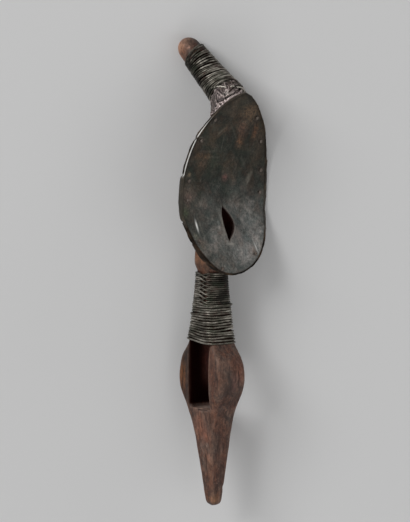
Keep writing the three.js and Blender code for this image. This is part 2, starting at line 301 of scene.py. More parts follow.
def mouth_point(angle):
    """The edge of the mouth, a lens that is fuller on the figure's left and straighter at its lower end."""
    rise = np.sin(angle)
    side = side_of(angle)
    width = np.where(side > 0, *MOUTH_WIDTHS)
    bow = np.where((side > 0) & (rise < 0), *MOUTH_BOWS)
    return MOUTH_SIDE + width * side * (1 - np.abs(rise) ** bow), MOUTH_LEVEL + MOUTH_HALF_HEIGHT * rise


def face_ring(share, inset, angle, sunk=0):
    """A ring on the face, from the mouth (0) to the outline (1), sunk below it by `inset` and `sunk`."""
    mouth_x, mouth_z = mouth_point(angle)
    rim_x, rim_z = outline_point(angle, inset)
    x = mouth_x + (rim_x - mouth_x) * share
    z = mouth_z + (rim_z - mouth_z) * share
    slope_x = face_forward(x + 1, z) - face_forward(x, z)
    slope_z = face_forward(x, z + 1) - face_forward(x, z)
    depth = (inset + sunk) * np.sqrt(1 + slope_x ** 2 + slope_z ** 2)
    return np.stack([x, depth - face_forward(x, z), z], -1)


def rim_thickness(z):
    return RIM_THICKNESS + (RIM_AT_CHIN - RIM_THICKNESS) * smooth((RIM_CHIN_FROM - z) / RIM_CHIN_REACH)


def chignon_at(t):
    """The chignon's axis, its direction and its radius of wood, from its base (0) to its tip (1)."""
    t = np.asarray(t, float)[..., None]
    middle = (1 - t) ** 2 * CHIGNON_BASE + 2 * t * (1 - t) * CHIGNON_BEND + t ** 2 * CHIGNON_END
    direction = unit((1 - t) * (CHIGNON_BEND - CHIGNON_BASE) + t * (CHIGNON_END - CHIGNON_BEND))
    taper = np.clip(t, 0, 1)[..., 0] ** 0.9
    return middle, direction, CHIGNON_BASE_RADIUS + (CHIGNON_TIP_RADIUS - CHIGNON_BASE_RADIUS) * taper


def up_chignon(points):
    """How far up the chignon each point lies, from its base."""
    return (points - CHIGNON_BASE) @ unit(CHIGNON_END - CHIGNON_BASE)


def round_ring(middle, direction, radius, angle):
    """Points round an axis, from the figure's left on."""
    across = unit(np.array([1.0, 0, 0]) - direction * direction[..., :1])
    along = np.cross(direction, across)
    angle = angle[..., None]
    return middle + np.asarray(radius)[..., None] * (across * np.cos(angle) + along * np.sin(angle))


def curve(points, place, ends):
    """A smooth curve through `points`, at places counted from the first. Its ends "wrap" round or "clip"."""
    i = place.astype(int)
    u = (place - i)[:, None]
    before, here, after, beyond = (np.take(points, i + k, 0, mode=ends) for k in (-1, 0, 1, 2))
    line = 2 * here + (after - before) * u
    bend = (2 * before - 5 * here + 4 * after - beyond) * u ** 2
    return 0.5 * (line + bend + (3 * here - before - 3 * after + beyond) * u ** 3)


def crown_ring(share, inset, count):
    """A ring of the crown, from the collar's lower edge (0) to the chignon (1), moved in by `inset`."""
    turns = np.arange(count) / count
    middle, direction, radius = chignon_at(0)
    upper = round_ring(middle, direction, radius + GAP + COLLAR_THICKNESS - inset, 2 * math.pi * turns)
    lower = curve(COLLAR_EDGE, (turns + 0.25) % 1 * len(COLLAR_EDGE), "wrap")
    lower = lower + unit(COLLAR_MIDDLE - lower) * inset
    return lower + (upper - lower) * share


def strip_faces(steps, count, tyre=False):
    """The four-sided faces between rings of `count` points."""
    r, i = np.meshgrid(np.arange(steps if tyre else steps - 1), np.arange(count), indexing="ij")
    after, beside = (r + 1) % steps, (i + 1) % count
    faces = np.stack([r * count + i, r * count + beside, after * count + beside, after * count + i], -1)
    return faces.reshape(-1, 4).tolist()


def loft(rings):
    """Points and faces of a skin through rings, closed at both ends."""
    rings = np.asarray(rings)
    steps, count = rings.shape[:2]
    faces = strip_faces(steps, count)
    faces.append(list(range(count))[::-1])
    faces.append(list(range((steps - 1) * count, steps * count)))
    return rings.reshape(-1, 3), faces


def joined(parts):
    """Several (points, faces) pairs as one."""
    points, faces = [], []
    for part_points, part_faces in parts:
        start = sum(len(p) for p in points)
        points.append(part_points)
        faces += [[start + v for v in face] for face in part_faces]
    return np.concatenate(points), faces


def box_ring(half_x, low_y, high_y, low_corner, high_corner, z):
    """A level ring at height z, a rectangle with round corners."""
    ring = []
    high, low = (high_y, high_corner, -1), (low_y, low_corner, 1)
    for quarter, (side, (y, corner, inwards)) in enumerate(zip((1, -1, -1, 1), (high, high, low, low))):
        for angle in np.linspace(quarter, quarter + 1, 8) * math.pi / 2:
            x = side * (half_x - corner) + corner * math.cos(angle)
            ring.append((x, y + inwards * corner + corner * math.sin(angle), z))
    return ring


def shaft_loft(low, high):
    """The shaft between two heights. Its foot is rounded off."""
    rings = []
    for z in np.linspace(low, high, int((high - low) / 1.5) + 2):
        width, depth, corner, forward = shaft_at(z)[0]
        worn = 0.55 + 0.45 * math.sqrt(1 - (1 - min(z / FOOT_ROUNDING, 1)) ** 2)
        width, depth, corner = width * worn, depth * worn, corner * worn
        rings.append(box_ring(width, -depth - forward, depth - forward, corner, corner, z))
    return loft(rings)


def arm_loft(front):
    """One arm of the lozenge, with its ends inside the solid wood. The front arm swells into the window."""
    rings = []
    for z in np.linspace(WINDOW_LEDGE - 4, WINDOW_TOP + 4, 70):
        width, depth, corner, forward = shaft_at(z)[0]
        if front:
            share = (z - WINDOW_LEDGE) / (WINDOW_TOP - WINDOW_LEDGE)
            inner = ARM_BOW * max(4 * share * (1 - share), 0) - WINDOW_HALF_DEPTH
            rings.append(box_ring(width, -depth - forward, inner, corner, FRONT_ARM_EDGE, z))
        else:
            edge = min(REAR_ARM_EDGE, 0.45 * (depth - forward - WINDOW_HALF_DEPTH))
            rings.append(box_ring(width, WINDOW_HALF_DEPTH, depth - forward, edge, corner, z))
    return loft(rings)


def head_loft():
    """The wooden head: its domed back, the rim, the front, and the hollow behind the mouth."""
    angle = turn_round(160)
    inset = SHEET + GAP
    edge = face_ring(1, inset, angle)
    rings = []
    for share in np.linspace(0.06, 1, 22):
        z = FACE_LEVEL + (edge[:, 2] - FACE_LEVEL) * share
        dome = HEAD_DOME * (1 - share ** 2) ** 0.8
        rings.append(np.stack([edge[:, 0] * share, rim_thickness(z) + dome - face_lean(z), z], -1))
    rings += [face_ring(share, inset, angle) for share in np.linspace(1, 0, 28)]
    mouth_x, mouth_z = mouth_point(angle)
    deepest = MOUTH_HOLLOW - face_forward(0, MOUTH_LEVEL)
    top = inset - face_forward(mouth_x, mouth_z)
    for share in np.linspace(0.15, 1, 6):
        near = 1 - 0.25 * share ** 2
        x = MOUTH_SIDE + (mouth_x - MOUTH_SIDE) * near
        z = MOUTH_LEVEL + (mouth_z - MOUTH_LEVEL) * near
        rings.append(np.stack([x, top + (deepest - top) * share, z], -1))
    return loft(rings)


def crown_loft():
    inset = COLLAR_THICKNESS + GAP
    return loft([crown_ring(share, inset, 96) for share in np.linspace(0, 1, 12)])


def chignon_loft():
    """The chignon's wood, from inside the crown to its round tip."""
    angle = turn_round(72)
    middle, direction, radius = chignon_at(0)
    rings = [round_ring(middle - 2 * direction, direction, radius - 2, angle)]
    rings += [round_ring(*chignon_at(t), angle) for t in np.linspace(0, 1, 40)]
    middle, direction, radius = chignon_at(1)
    for lift in np.linspace(0, 0.98, 14)[1:] * math.pi / 2:
        tip = middle + direction * radius * math.sin(lift)
        rings.append(round_ring(tip, direction, radius * math.cos(lift), angle))
    return loft(rings)


def add_object(name, data):
    thing = bpy.data.objects.new(name, data)
    bpy.context.scene.collection.objects.link(thing)
    return thing


def mesh_piece(name, points, faces):
    mesh = bpy.data.meshes.new(name)
    mesh.from_pydata(points.tolist(), [], faces)
    mesh.update()
    return add_object(name, mesh)


def vectors_of(items, key):
    flat = np.zeros(len(items) * 3, np.float32)
    items.foreach_get(key, flat)
    return flat.reshape(-1, 3).astype(float)


def get_points(mesh):
    return vectors_of(mesh.vertices, "co")


def set_points(mesh, points):
    mesh.vertices.foreach_set("co", points.astype(np.float32).ravel())
    mesh.update()


def get_normals(mesh):
    return vectors_of(mesh.vertex_normals, "vector")


def bulge(mesh, points, rounds):
    """How far each point stands out from its surroundings: above 0 on an edge, below 0 in a groove."""
    edges = np.zeros(len(mesh.edges) * 2, np.int32)
    mesh.edges.foreach_get("vertices", edges)
    a, b = edges.reshape(-1, 2).T
    size = len(points)
    neighbours = np.bincount(edges, minlength=size)[:, None]
    around = points
    for _ in range(rounds):
        sums = [np.bincount(a, axis[b], size) + np.bincount(b, axis[a], size) for axis in around.T]
        around = np.stack(sums, -1) / neighbours
    return ((points - around) * get_normals(mesh)).sum(axis=1)


def store(mesh, name, values):
    """Keeps a value, a vector or a colour for each point of the mesh, for its material to read."""
    kinds = {1: ("FLOAT", "value"), 3: ("FLOAT_VECTOR", "vector"), 4: ("FLOAT_COLOR", "color")}
    kind, key = kinds[values[0].size]
    attribute = mesh.attributes.new(name, kind, "POINT")
    attribute.data.foreach_set(key, values.astype(np.float32).ravel())


def shape_surface(mesh, points, relief, rounds, height):
    """Moves each point along its normal, and keeps how it then stands out, 1 on an edge `height` high."""
    points = points + get_normals(mesh) * relief[:, None]
    set_points(mesh, points)
    store(mesh, "ridges_and_grooves", np.clip(bulge(mesh, points, rounds) / height, -1, 1))
    return points


def nearness(points, place, size, ragged):
    """1 in the middle of a soft spot, fading over its size."""
    return np.exp(-(((points - place) / size) ** 2).sum(axis=1) * ragged)


def tones(points, areas):
    """How many times lighter (above 0) or darker each point is, doubling at 1: a sum of soft areas."""
    ragged = 1 + 0.3 * noise(points, (3, 3, 5), 6)
    return sum(amount * nearness(points, place, size, ragged) for place, size, amount in areas)


def strokes(points, lines):
    """Thin marks on the face, seen from in front: the sum of the lines' amounts, ragged and tapered."""
    total = np.zeros(len(points))
    ragged = 0.65 + 0.5 * noise(points, (1.5, 4, 2.5), 7)
    for start, end, width, amount in lines:
        run = np.subtract(end, start)
        reach = points[:, ::2] - start
        along = np.clip(reach @ run / (run @ run), 0, 1)
        away = np.linalg.norm(reach - along[:, None] * run, axis=1)
        total += amount * hump(away, width) * ragged * np.sqrt(4 * along * (1 - along) + 0.08)
    return total


def patches(points, spots):
    """The colour of the spots round each point, with how strongly they show as its fourth number."""
    ragged = 1 + 0.35 * noise(points, 2.5, 5)
    colour = np.zeros((len(points), 4))
    for place, size, shade, strength in spots:
        weight = strength * nearness(points, place, size, ragged)[:, None]
        colour = colour * (1 - weight) + np.array([*shade, 1]) * weight
    colour[:, :3] /= np.maximum(colour[:, 3:], 1e-3)
    return colour


def finish_piece(piece, points, nodes, material):
    """Lays the piece down, inside the box of the solids, and ties it to the frame."""
    store(piece.data, "place", points)
    set_points(piece.data, np.clip(laid(points), cad_low, cad_high))
    piece.data.shade_smooth()
    piece.data.materials.append(material)
    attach(piece, "root")
    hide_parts(*nodes)


# Checks along the wood's grain: where each starts, as x and y, the heights it runs between, and its depth.
CHECKS = [
    (5.5, -30, 88, 128, 0.8),
    (-3, -20, 30, 78, 0.7),
    (-13.5, 24, 92, 122, 0.6),
    (-9, -3, 20, 60, 0.6),
    (12, 6, 40, 110, 0.9),
    (6, 30, 70, 118, 0.9),
    (-4, 14, 20, 70, 0.7),
    (9, 8, 215, 300, 0.8),
    (-8, 10, 230, 320, 0.7),
    (-12, -4, 205, 232, 0.6),
    (-9, -12, 205, 226, 0.6),
    (-13.5, 4, 205, 229, 0.5),
]
# Dents and chips: where each lies, how wide it is and how deep.
DENTS = [
    ((6.4, -8.8, 15.5), 2.2, 0.7),
    ((-5.2, 2.4, 28), 2.4, 0.5),
    ((-10.4, -6.4, 53.5), 1.4, 0.4),
    ((1, -29.5, 104.8), 3.2, 0.5),
    ((-13.6, 22, 116), 3.5, 0.5),
    ((11.5, -27, 128), 3, 0.6),
    ((-12.6, -20, 92), 2.4, 0.5),
    ((12, 20, 88), 4, 0.9),
    ((-13, -12.5, 87), 1.6, 0.6),
    ((-15, 27, 389), 2.5, 0.4),
]
# The chisel's overrun under the window's ledge: from front to back, and its level.
UNDERCUT_ENDS = (-9.5, 3.5)
UNDERCUT_LEVEL = 83.2


def carve(points):
    """How far the carver's marks and wear move each point of the wood along its normal."""
    x, y, z = points.T
    relief = 0.32 * noise(points, (8, 8, 30), 1) + 0.14 * noise(points, (3.4, 3.4, 10), 2)
    relief += 0.05 * noise(points, (1.8, 1.8, 14), 3)
    for check_x, check_y, low, high, depth in CHECKS:
        stray = noise(np.stack([z, z, z], -1), 9, high) * 0.8
        away = np.hypot(x - check_x - stray, y - check_y - stray)
        relief -= depth * between(z, low, high, 10, 10) * hump(away, 0.8)
    for place, size, depth in DENTS:
        relief -= depth * hump(np.linalg.norm(points - place, axis=1), size)
    inside = (x < -8) & (y > UNDERCUT_ENDS[0]) & (y < UNDERCUT_ENDS[1])
    relief -= inside * 0.9 * hump(z - (UNDERCUT_LEVEL - 0.05 * y), 0.7)
    under_sheet = (np.abs(y + face_forward(x, z)) < 3.4) & (z > TABS_FOOT) & (z < 352)
    crown = (z > 330) & (y > -48)
    wound = (z > NECK_FROM + 1) & (z < NECK_TO - 6)
    bare_tip = smooth((up_chignon(points) / 45 - 0.86) / 0.1)
    calm = np.where(wound, 0.15, np.where(crown, bare_tip * 0.5, 1.0))
    relief = np.where(relief > 0, relief * calm, relief * np.where(crown, bare_tip, 1))
    return np.where(under_sheet, np.minimum(relief, 0) * 0.2, relief)


# Spots of another colour on the wood: where each lies, its size, its colour and how strongly it shows.
WOOD_SPOTS = [
    ((-13.6, 24, 112), (4, 5, 11), (0.4, 0.14, 0.035), 0.9),
    ((1.1, -28.8, 104.8), (4, 3, 6), (0.3, 0.13, 0.1), 0.55),
    ((3, -30, 112), (5, 3, 5), (0.22, 0.1, 0.08), 0.4),
    ((-10.4, -6.4, 53.5), (1.4, 1.4, 1.6), (0.4, 0.3, 0.24), 0.8),
    ((-3.7, -7.6, 5), (4, 4, 4.5), (0.36, 0.17, 0.07), 0.7),
    ((6.4, -8.8, 15.5), (2, 2, 2), (0.45, 0.33, 0.25), 0.8),
    ((-8.5, -6, 33), (3, 3, 11), (0.26, 0.12, 0.07), 0.5),
    ((-12, 0, 72), (4, 9, 12), (0.25, 0.11, 0.07), 0.5),
    ((-13, 27, 391), (9, 9, 9), (0.27, 0.13, 0.075), 0.85),
    ((-18, 20, 392), (4, 4, 4), (0.4, 0.2, 0.11), 0.4),
    ((-14, -2, 214), (8, 12, 9), (0.36, 0.17, 0.08), 0.7),
    ((-11.5, -4, 62), (3, 5, 7), (0.27, 0.1, 0.06), 0.5),
    ((-9, -6, 44), (3, 4, 5), (0.25, 0.1, 0.06), 0.45),
    ((3, -29, 96), (5, 4, 8), (0.1, 0.075, 0.065), 0.5),
    ((-6, -30, 124), (4, 4, 10), (0.13, 0.085, 0.065), 0.5),
    ((7, -29, 118), (4, 4, 9), (0.16, 0.06, 0.038), 0.5),
    ((0, 0, 84.7), (16, 14, 2), (0.11, 0.1, 0.09), 0.7),
    ((5, 13, 124), (9, 4, 24), (0.14, 0.022, 0.012), 0.9),
]
# Where the wood is painted lighter or darker than elsewhere: partly the wood's own tone, and much of it
# painted light and shade, such as the lit and shaded faces of the lozenge and tang, the lit ledge in the
# window, a painted highlight and shaded top on the chignon's bare tip, and painted shade under the face's
# sheet.
WOOD_TONES_AND_PAINTED_LIGHT = [
    ((-14, 21, 112), (7, 8, 34), -1.3),
    ((-11, -5, 187), (5, 7, 16), 0.9),
    ((2, -28, 108), (16, 8, 26), -0.3),
    ((-3, -30, 98), (4.5, 7, 15), -0.8),
    ((-4, -27, 131), (8, 7, 9), 0.5),
    ((10, -27, 112), (5, 7, 13), 0.3),
    ((9, -24, 94), (5, 7, 8), -0.4),
    ((-9.5, -25, 112), (3, 5, 18), 0.4),
    ((-12.5, -15, 116), (2.5, 3, 26), 0.5),
    ((-10, 2, 50), (6, 9, 26), 0.5),
    ((0, 0, 84.7), (16, 14, 2.5), 1.5),
    ((-13, 27, 391), (12, 12, 12), 1.3),
    ((-15, 12.5, 391.3), (2, 2, 2), 1.2),
    ((-5, 12, 395), (7, 8, 6), -1.5),
    ((-14, -2, 206), (12, 14, 3), -0.8),
    ((-10, -8, 219), (12, 8, 4), -0.5),
    ((-13.5, 1, 208), (2, 2.4, 5), -0.8),
    ((-12, -6, 214), (1.6, 2.4, 5), -0.6),
    ((-3, -4, 2), (5, 5, 2.5), -0.5),
]


# The wood's parts are joined on a grid of this size.
WOOD_CELL = 0.86
# An edge of this height is painted fully light and a groove of this depth fully dark: worn edges and dark
# grooves on the wood and sheet, and on the collar's crumples a painted highlight and painted shade.
WOOD_WEAR = 0.45
SHEET_WEAR = 0.3
COLLAR_CRUMPLE_HEIGHT = 0.22


def wood_painted_shade(points):
    """Painted shade: where the wood is painted black, inside the window, under the windings and in the
    mouth.
    """
    x, y, z = points.T
    window = smooth((13.4 - np.abs(x)) / 1.2) * smooth((15.5 - np.abs(y)) / 1.0)
    window = np.maximum(window, 0.9 * smooth((17.2 - np.abs(y + 0.6)) / 2.6) * (y > 0))
    window *= between(z, WINDOW_LEDGE + 0.6, WINDOW_TOP + 2, 3, 2)
    # The painted shade lifts towards the window's upper far side, where light through the far opening falls,
    # so the red wood shows there.
    window *= 1 - 0.65 * smooth((x + 5) / 12) * smooth((z - 94) / 24)
    neck = 0.8 * between(z, NECK_FROM, NECK_TO, 2, 2)
    neck *= 1 - 0.85 * (z > CROSSED_FROM) * hump(np.arctan2(y, x) % (2 * math.pi) - CROSSING, 0.6)
    chignon = (z > 345) * smooth((0.86 - up_chignon(points) / CHIGNON_LENGTH) / 0.03)
    mouth = np.hypot((x - MOUTH_SIDE - 2) / 1.6, (z - MOUTH_LEVEL) / 3.6)
    mouth = 0.9 * smooth((5.6 - mouth) / 1.2) * (y < -12)
    return np.maximum.reduce([window, neck, chignon, mouth])


def make_wood(material):
    """The whole carving as one skin, from the lofts it is made of."""
    points, faces = joined([
        shaft_loft(0, WINDOW_LEDGE),
        shaft_loft(WINDOW_TOP, SHAFT[-1, 0]),
        arm_loft(True),
        arm_loft(False),
        head_loft(),
        crown_loft(),
        chignon_loft(),
    ])
    rough = mesh_piece("rough_wood", points * MM, faces)
    remesh = rough.modifiers.new("skin", "REMESH")
    remesh.mode = "VOXEL"
    remesh.voxel_size = WOOD_CELL * MM
    ease = rough.modifiers.new("ease", "SMOOTH")
    ease.factor = 0.5
    ease.iterations = 3
    mesh = bpy.data.meshes.new_from_object(rough.evaluated_get(bpy.context.evaluated_depsgraph_get()))
    bpy.data.objects.remove(rough)
    points = get_points(mesh) / MM
    points = shape_surface(mesh, points, carve(points), 6, WOOD_WEAR)
    store(mesh, "painted_shade", wood_painted_shade(points))
    store(mesh, "patch", patches(points, WOOD_SPOTS))
    store(mesh, "tone_and_painted_light", tones(points, WOOD_TONES_AND_PAINTED_LIGHT))
    finish_piece(add_object("carved_wood", mesh), points, ["wood_core"], material)


def sheet_relief(points, border):
    """Dents and creases of the face's sheet, in millimetres along its normal. `border` is 1 at its edge."""
    x, _, z = points.T
    relief = 0.34 * noise(points, (16, 16, 22), 11) + 0.16 * noise(points, (6, 6, 7), 12)
    relief += 0.05 * noise(points, 2.6, 13)
    relief += np.maximum(border, 0) * 0.28 * noise(points, (3.2, 3.2, 4.2), 14)
    crease = x - MOUTH_SIDE - 0.4 * noise(points, 8, 15)
    rise = (z - MOUTH_LEVEL - MOUTH_HALF_HEIGHT) / 12
    creased = smooth(1 + 5 * rise) * smooth(1 - rise)
    relief += creased * (0.9 * hump(crease + 1.6, 1.6) - 0.7 * hump(crease, 0.8))
    beside = smooth(1.3 - np.abs(z - MOUTH_LEVEL) / MOUTH_HALF_HEIGHT)
    relief += 0.7 * beside * hump(x - MOUTH_SIDE + MOUTH_WIDTHS[1] + 2.4, 1.8)
    for tack_x, tack_z in tack_places():
        relief -= 0.16 * hump(np.hypot(x - tack_x, z - tack_z) - 2.2, 1.1)
    return relief + 0.3 * strokes(points, SCRATCHES_AND_HIGHLIGHTS)


def tack_places():
    """Where each tack lies on the face, as x and z."""
    for height, side in TACKS:
        share = (height - FACE_LEVEL) / (FACE_ABOVE if height > FACE_LEVEL else FACE_BELOW)
        yield side * (float(half_width_at(share)) - TACK_INSET), height


# The radius of the sheet's fold, how far its hem is pressed in behind the outline, how deep the rings of its
# edge lie in the mouth, and how many points go round a ring.
FOLD = 0.7
HEM_INSET = 0.4
MOUTH_EDGE = (1.9, 1.1, 0.45, 0.1)
SHEET_SIDES = 400
# Scratches, painted highlights and painted sheen streaks on the face's front: from and to, as x and z, the
# half width, and how far each stands out pale (above 0) or dark.
SCRATCHES_AND_HIGHLIGHTS = [
    ((-7.2, 257), (-7.6, 231), 1.5, 0.45),
    ((-3.2, 258.5), (-3, 269), 0.5, -0.8),
    ((3, 231), (12, 236), 3, 0.35),
    ((-5, 226.5), (3, 226), 1.2, 0.9),
    ((9, 218.3), (10.6, 218.3), 0.7, 1.3),
    ((-11, 208.5), (-9.4, 207.5), 0.8, 1.3),
    ((-6.5, 205), (-6, 202.5), 0.6, 1.0),
    ((-12, 212), (-12.5, 206), 0.5, 0.6),
    ((26, 208), (27.5, 211), 0.7, 1.0),
    ((12, 259), (25, 257), 1.3, 0.45),
    ((20, 257), (38, 246), 1.5, 0.45),
    ((14, 250), (22, 240), 1.4, 0.25),
    ((24, 247), (36, 243), 1.2, 0.35),
    ((23.5, 276), (27.5, 287), 2.2, 1.0),
    ((29, 272), (26, 266), 1.2, -0.5),
    ((12, 262), (26, 268), 2.2, -0.45),
    ((26, 262), (36, 264), 1.6, -0.4),
    ((-16, 318), (-9, 325), 0.8, 0.4),
    ((-3, 326), (6, 314), 0.7, 0.35),
    ((6, 330), (15, 327), 0.7, 0.3),
    ((-24, 300), (-9, 299.5), 0.6, 0.4),
    ((-27, 304), (-12, 305), 0.6, 0.3),
    ((-8, 318), (-8.5, 303), 0.6, 0.3),
    ((14, 300), (21, 289), 0.8, 0.3),
    ((18, 306), (30, 302), 0.8, 0.25),
    ((-22, 250), (-12, 246), 0.8, 0.25),
    ((-30, 252), (-24, 226), 0.8, 0.3),
    ((-17, 236), (-8, 217), 0.8, 0.3),
    ((8, 224), (19, 221), 0.9, 0.4),
    ((-2, 214), (4, 208), 0.8, 0.4),
    ((12, 213), (18, 208), 1.2, -0.4),
    ((-10, 214), (-2, 206), 0.9, 0.4),
    ((28, 232), (33, 219), 0.9, 0.35),
    ((-34.5, 316.2), (-31, 316.6), 0.7, 0.9),
    ((-26, 283), (-26, 279), 0.8, 0.6),
    ((-24.5, 263), (-25.5, 258), 1.0, 0.8),
    ((-7.4, 243), (-4.4, 256), 0.6, 0.6),
    ((5.8, 241), (-1.6, 229), 0.6, 0.7),
    ((5.6, 246), (-0.4, 256), 0.5, 0.5),
]


def sheet_layer(inset, angle, detailed):
    """One face of the sheet: from the mouth's edge over the front, round the fold and along the border."""
    rings = []
    borders = []
    for sunk in MOUTH_EDGE if detailed else MOUTH_EDGE[:1]:
        rings.append(face_ring(0.012 if sunk < 0.2 else 0, inset, angle, sunk))
        borders.append(-sunk)
    edge = face_ring(1, inset, angle)
    drawn_in = face_ring(1, inset + FOLD, angle) - edge
    for way in np.linspace(0, 1, 64 if detailed else 14):
        share = 0.02 + 0.98 * way ** 1.15
        rings.append(face_ring(share, inset, angle) + drawn_in * share)
        borders.append(smooth((share - 0.955) / 0.04))
    rim = outline_point(angle, inset)
    near = outline_point(angle, inset + FOLD)
    out = (rim - near) / np.hypot(*(rim - near))
    number, along = tab_place(*rim)
    proud = np.array(TABS_PROUD)[number.astype(int)] * between(along, 0, 1, 0.03, 0.03)
    hem = rim_thickness(rim[1]) - (0 if detailed else 0.2)
    hem *= 1 - 0.45 * hump(np.minimum(along, 1 - along), 0.04)
    hem += 0.35 * noise(rim[[0, 1, 1]].T, 9, 21) + 0.6 * proud
    turns, bands = (6, 7) if detailed else (2, 3)
    for share in np.arange(1, turns + 1) / turns:
        bend = share * math.pi / 2
        x, z = near + out * (FOLD * math.sin(bend) + proud * share)
        rings.append(np.stack([x, edge[:, 1] + FOLD * (1 - math.cos(bend)), z], -1))
    for share in np.arange(1, bands + 1) / bands:
        x, z = rim + out * (proud * (1 - 0.3 * share) - HEM_INSET * smooth((share - 0.6) / 0.4))
        rings.append(np.stack([x, edge[:, 1] + FOLD + (hem - FOLD) * share, z], -1))
    return np.array(rings), np.array(borders + [1] * (turns + bands))


def sheet_piece(name, outer, inner):
    """A closed skin from its outer and inner rings, its points, and which of them are outside."""
    rings = np.concatenate([outer, inner[::-1]])
    steps, count = rings.shape[:2]
    piece = mesh_piece(name, rings.reshape(-1, 3), strip_faces(steps, count, True))
    return piece, get_points(piece.data), np.repeat(np.arange(steps) < len(outer), count)


# Spots of another colour on the face's sheet, like those on the wood.
SHEET_SPOTS = [
    ((-0.5, -18.5, 282), (2.6, 3, 2.6), (0.22, 0.1, 0.085), 0.9),
    ((-6.4, -30, 322), (4, 6, 5), (0.13, 0.07, 0.045), 0.35),
    ((9.7, -30.7, 324), (5, 6, 9), (0.16, 0.075, 0.05), 0.7),
    ((9.3, -26, 311.4), (3, 6, 5), (0.2, 0.1, 0.05), 0.75),
    ((24, -29, 319), (2.8, 6, 8), (0.17, 0.075, 0.035), 0.8),
    ((14, -33, 334), (6, 6, 10), (0.13, 0.08, 0.045), 0.5),
    ((-38.1, -17, 265.9), (3.4, 6, 4.6), (0.2, 0.12, 0.1), 0.7),
    ((-41.1, -17, 254), (3, 6, 4), (0.1, 0.12, 0.06), 0.6),
    ((-30, -24, 301), (3.5, 6, 2.5), (0.17, 0.09, 0.045), 0.7),
    ((-22, -23, 300), (3.5, 6, 3), (0.17, 0.085, 0.04), 0.75),
    ((-39, -19, 285.5), (1.8, 5, 2), (0.22, 0.16, 0.1), 0.8),
    ((-14, -22, 296), (9, 6, 12), (0.04, 0.055, 0.035), 0.5),
    ((5, -18, 268), (8, 6, 9), (0.045, 0.06, 0.045), 0.4),
    ((7, -27, 233), (6, 6, 4.5), (0.24, 0.17, 0.15), 0.5),
    ((23.6, -27, 219), (2.2, 5, 3), (0.17, 0.09, 0.045), 0.8),
    ((-34.4, -22.6, 233.4), (2.6, 5, 3), (0.22, 0.21, 0.15), 0.6),
    ((-30, -22, 226), (2.4, 5, 4), (0.15, 0.1, 0.05), 0.5),
    ((-33, -17, 221), (5, 7, 5), (0.12, 0.065, 0.034), 0.7),
    ((-26, -19, 213), (4, 7, 3), (0.1, 0.055, 0.03), 0.6),
    ((-16, -20, 205), (6, 7, 3), (0.085, 0.05, 0.028), 0.6),
    ((-26, -22, 294), (6, 6, 4), (0.12, 0.065, 0.04), 0.6),
    ((10, -30, 206), (9, 6, 4), (0.03, 0.036, 0.031), 0.6),
    ((16, -38, 338), (15, 8, 8), (0.17, 0.105, 0.06), 0.8),
    ((31, -26, 318), (5, 8, 14), (0.09, 0.055, 0.032), 0.6),
    ((-8.5, -38, 340), (8, 6, 4), (0.06, 0.042, 0.028), 0.5),
    ((30, -23, 298), (5, 6, 9), (0.085, 0.055, 0.035), 0.5),
]


def sheet_sheen_and_tarnish(points):
    """How pale the face is painted: dark with tarnish above, and pale and streaked below, where it carries a
    painted sheen of reflected light.
    """
    x, _, z = points.T
    sheen_and_tarnish = smooth((294 - z) / 68) * (0.42 + 0.58 * smooth((x + 30) / 52))
    sheen_and_tarnish *= 1 - 0.22 * hump(z - 212, 8) * smooth((8 - x) / 14)
    sheen_and_tarnish *= 1 - 0.7 * smooth((-26 - x) / 12) * smooth((z - 236) / 10)
    sheen_and_tarnish += 0.11 * noise(points, (9, 9, 13), 16) * smooth((305 - z) / 40)
    sheen_and_tarnish += 0.07 * noise(points, (4, 4, 6), 17)
    return np.clip(sheen_and_tarnish, 0, 1)


def make_face_sheet(material):
    angle = turn_round(SHEET_SIDES)
    outer, borders = sheet_layer(0, angle, True)
    inner, _ = sheet_layer(SHEET, angle, False)
    piece, points, outside = sheet_piece("face_sheet_metal", outer, inner)
    mesh = piece.data
    mesh.flip_normals()
    border = np.repeat(np.concatenate([borders, np.zeros(len(inner))]), len(angle))
    points = shape_surface(mesh, points, outside * sheet_relief(points, border), 5, SHEET_WEAR)
    x, _, z = points.T
    # Painted highlights, near white: a line along the fold of the upper border on the figure's right, a
    # glint streak low on that side and a small glint low on the other.
    fold = np.repeat(hump(np.arange(len(outer) + len(inner)) - len(outer) + 10, 2.2), len(angle))
    lit = (x < 0) * between(z, 283, 339, 3, 18) * (1 - hump(z - 316, 1.2))
    painted_streak = hump(x + 31.4 + 0.12 * (z - 242), 0.75) * hump(z - 242.3, 4)
    lightened = hump(x - 26.3 + 0.25 * (z - 222), 0.4) * hump(z - 222.3, 4)
    store(mesh, "painted_highlight", np.maximum.reduce([0.75 * fold * lit, painted_streak, 0.7 * lightened]))
    store(mesh, "sheen_and_tarnish", sheet_sheen_and_tarnish(points))
    # The border band is painted dark: painted shade on the turned-over band, with the sheet's own spots;
    # less at the top, on the proud tab on the figure's right, and on the left side above the chin.
    rim = np.clip(border, 0, 1)
    store(mesh, "scratch_and_highlight", strokes(points, SCRATCHES_AND_HIGHLIGHTS) * (1 - rim * (z < 312)))
    rim *= 1 - 0.7 * smooth((z - 330) / 12)
    rim *= 1 - 0.65 * (x < 0) * between(z, 240, 288, 5, 4)
    store(mesh, "border", rim * (1 - 0.5 * (x > 0) * smooth((z - 225) / 20)))
    # The sheet's lip turned into the mouth, painted dark red: painted shade in the mouth.
    store(mesh, "edge", np.clip(-border / 0.6, 0, 1) * outside)
    around_tacks = [
        ((x, -face_forward(x, z), z), (2.7, 4, 2.7), (0.13, 0.1, 0.085), 0.55) for x, z in tack_places()
    ]
    store(mesh, "patch", patches(points, SHEET_SPOTS + around_tacks))
    finish_piece(piece, points, ["face_sheet"], material)


COLLAR_SIDES = 260
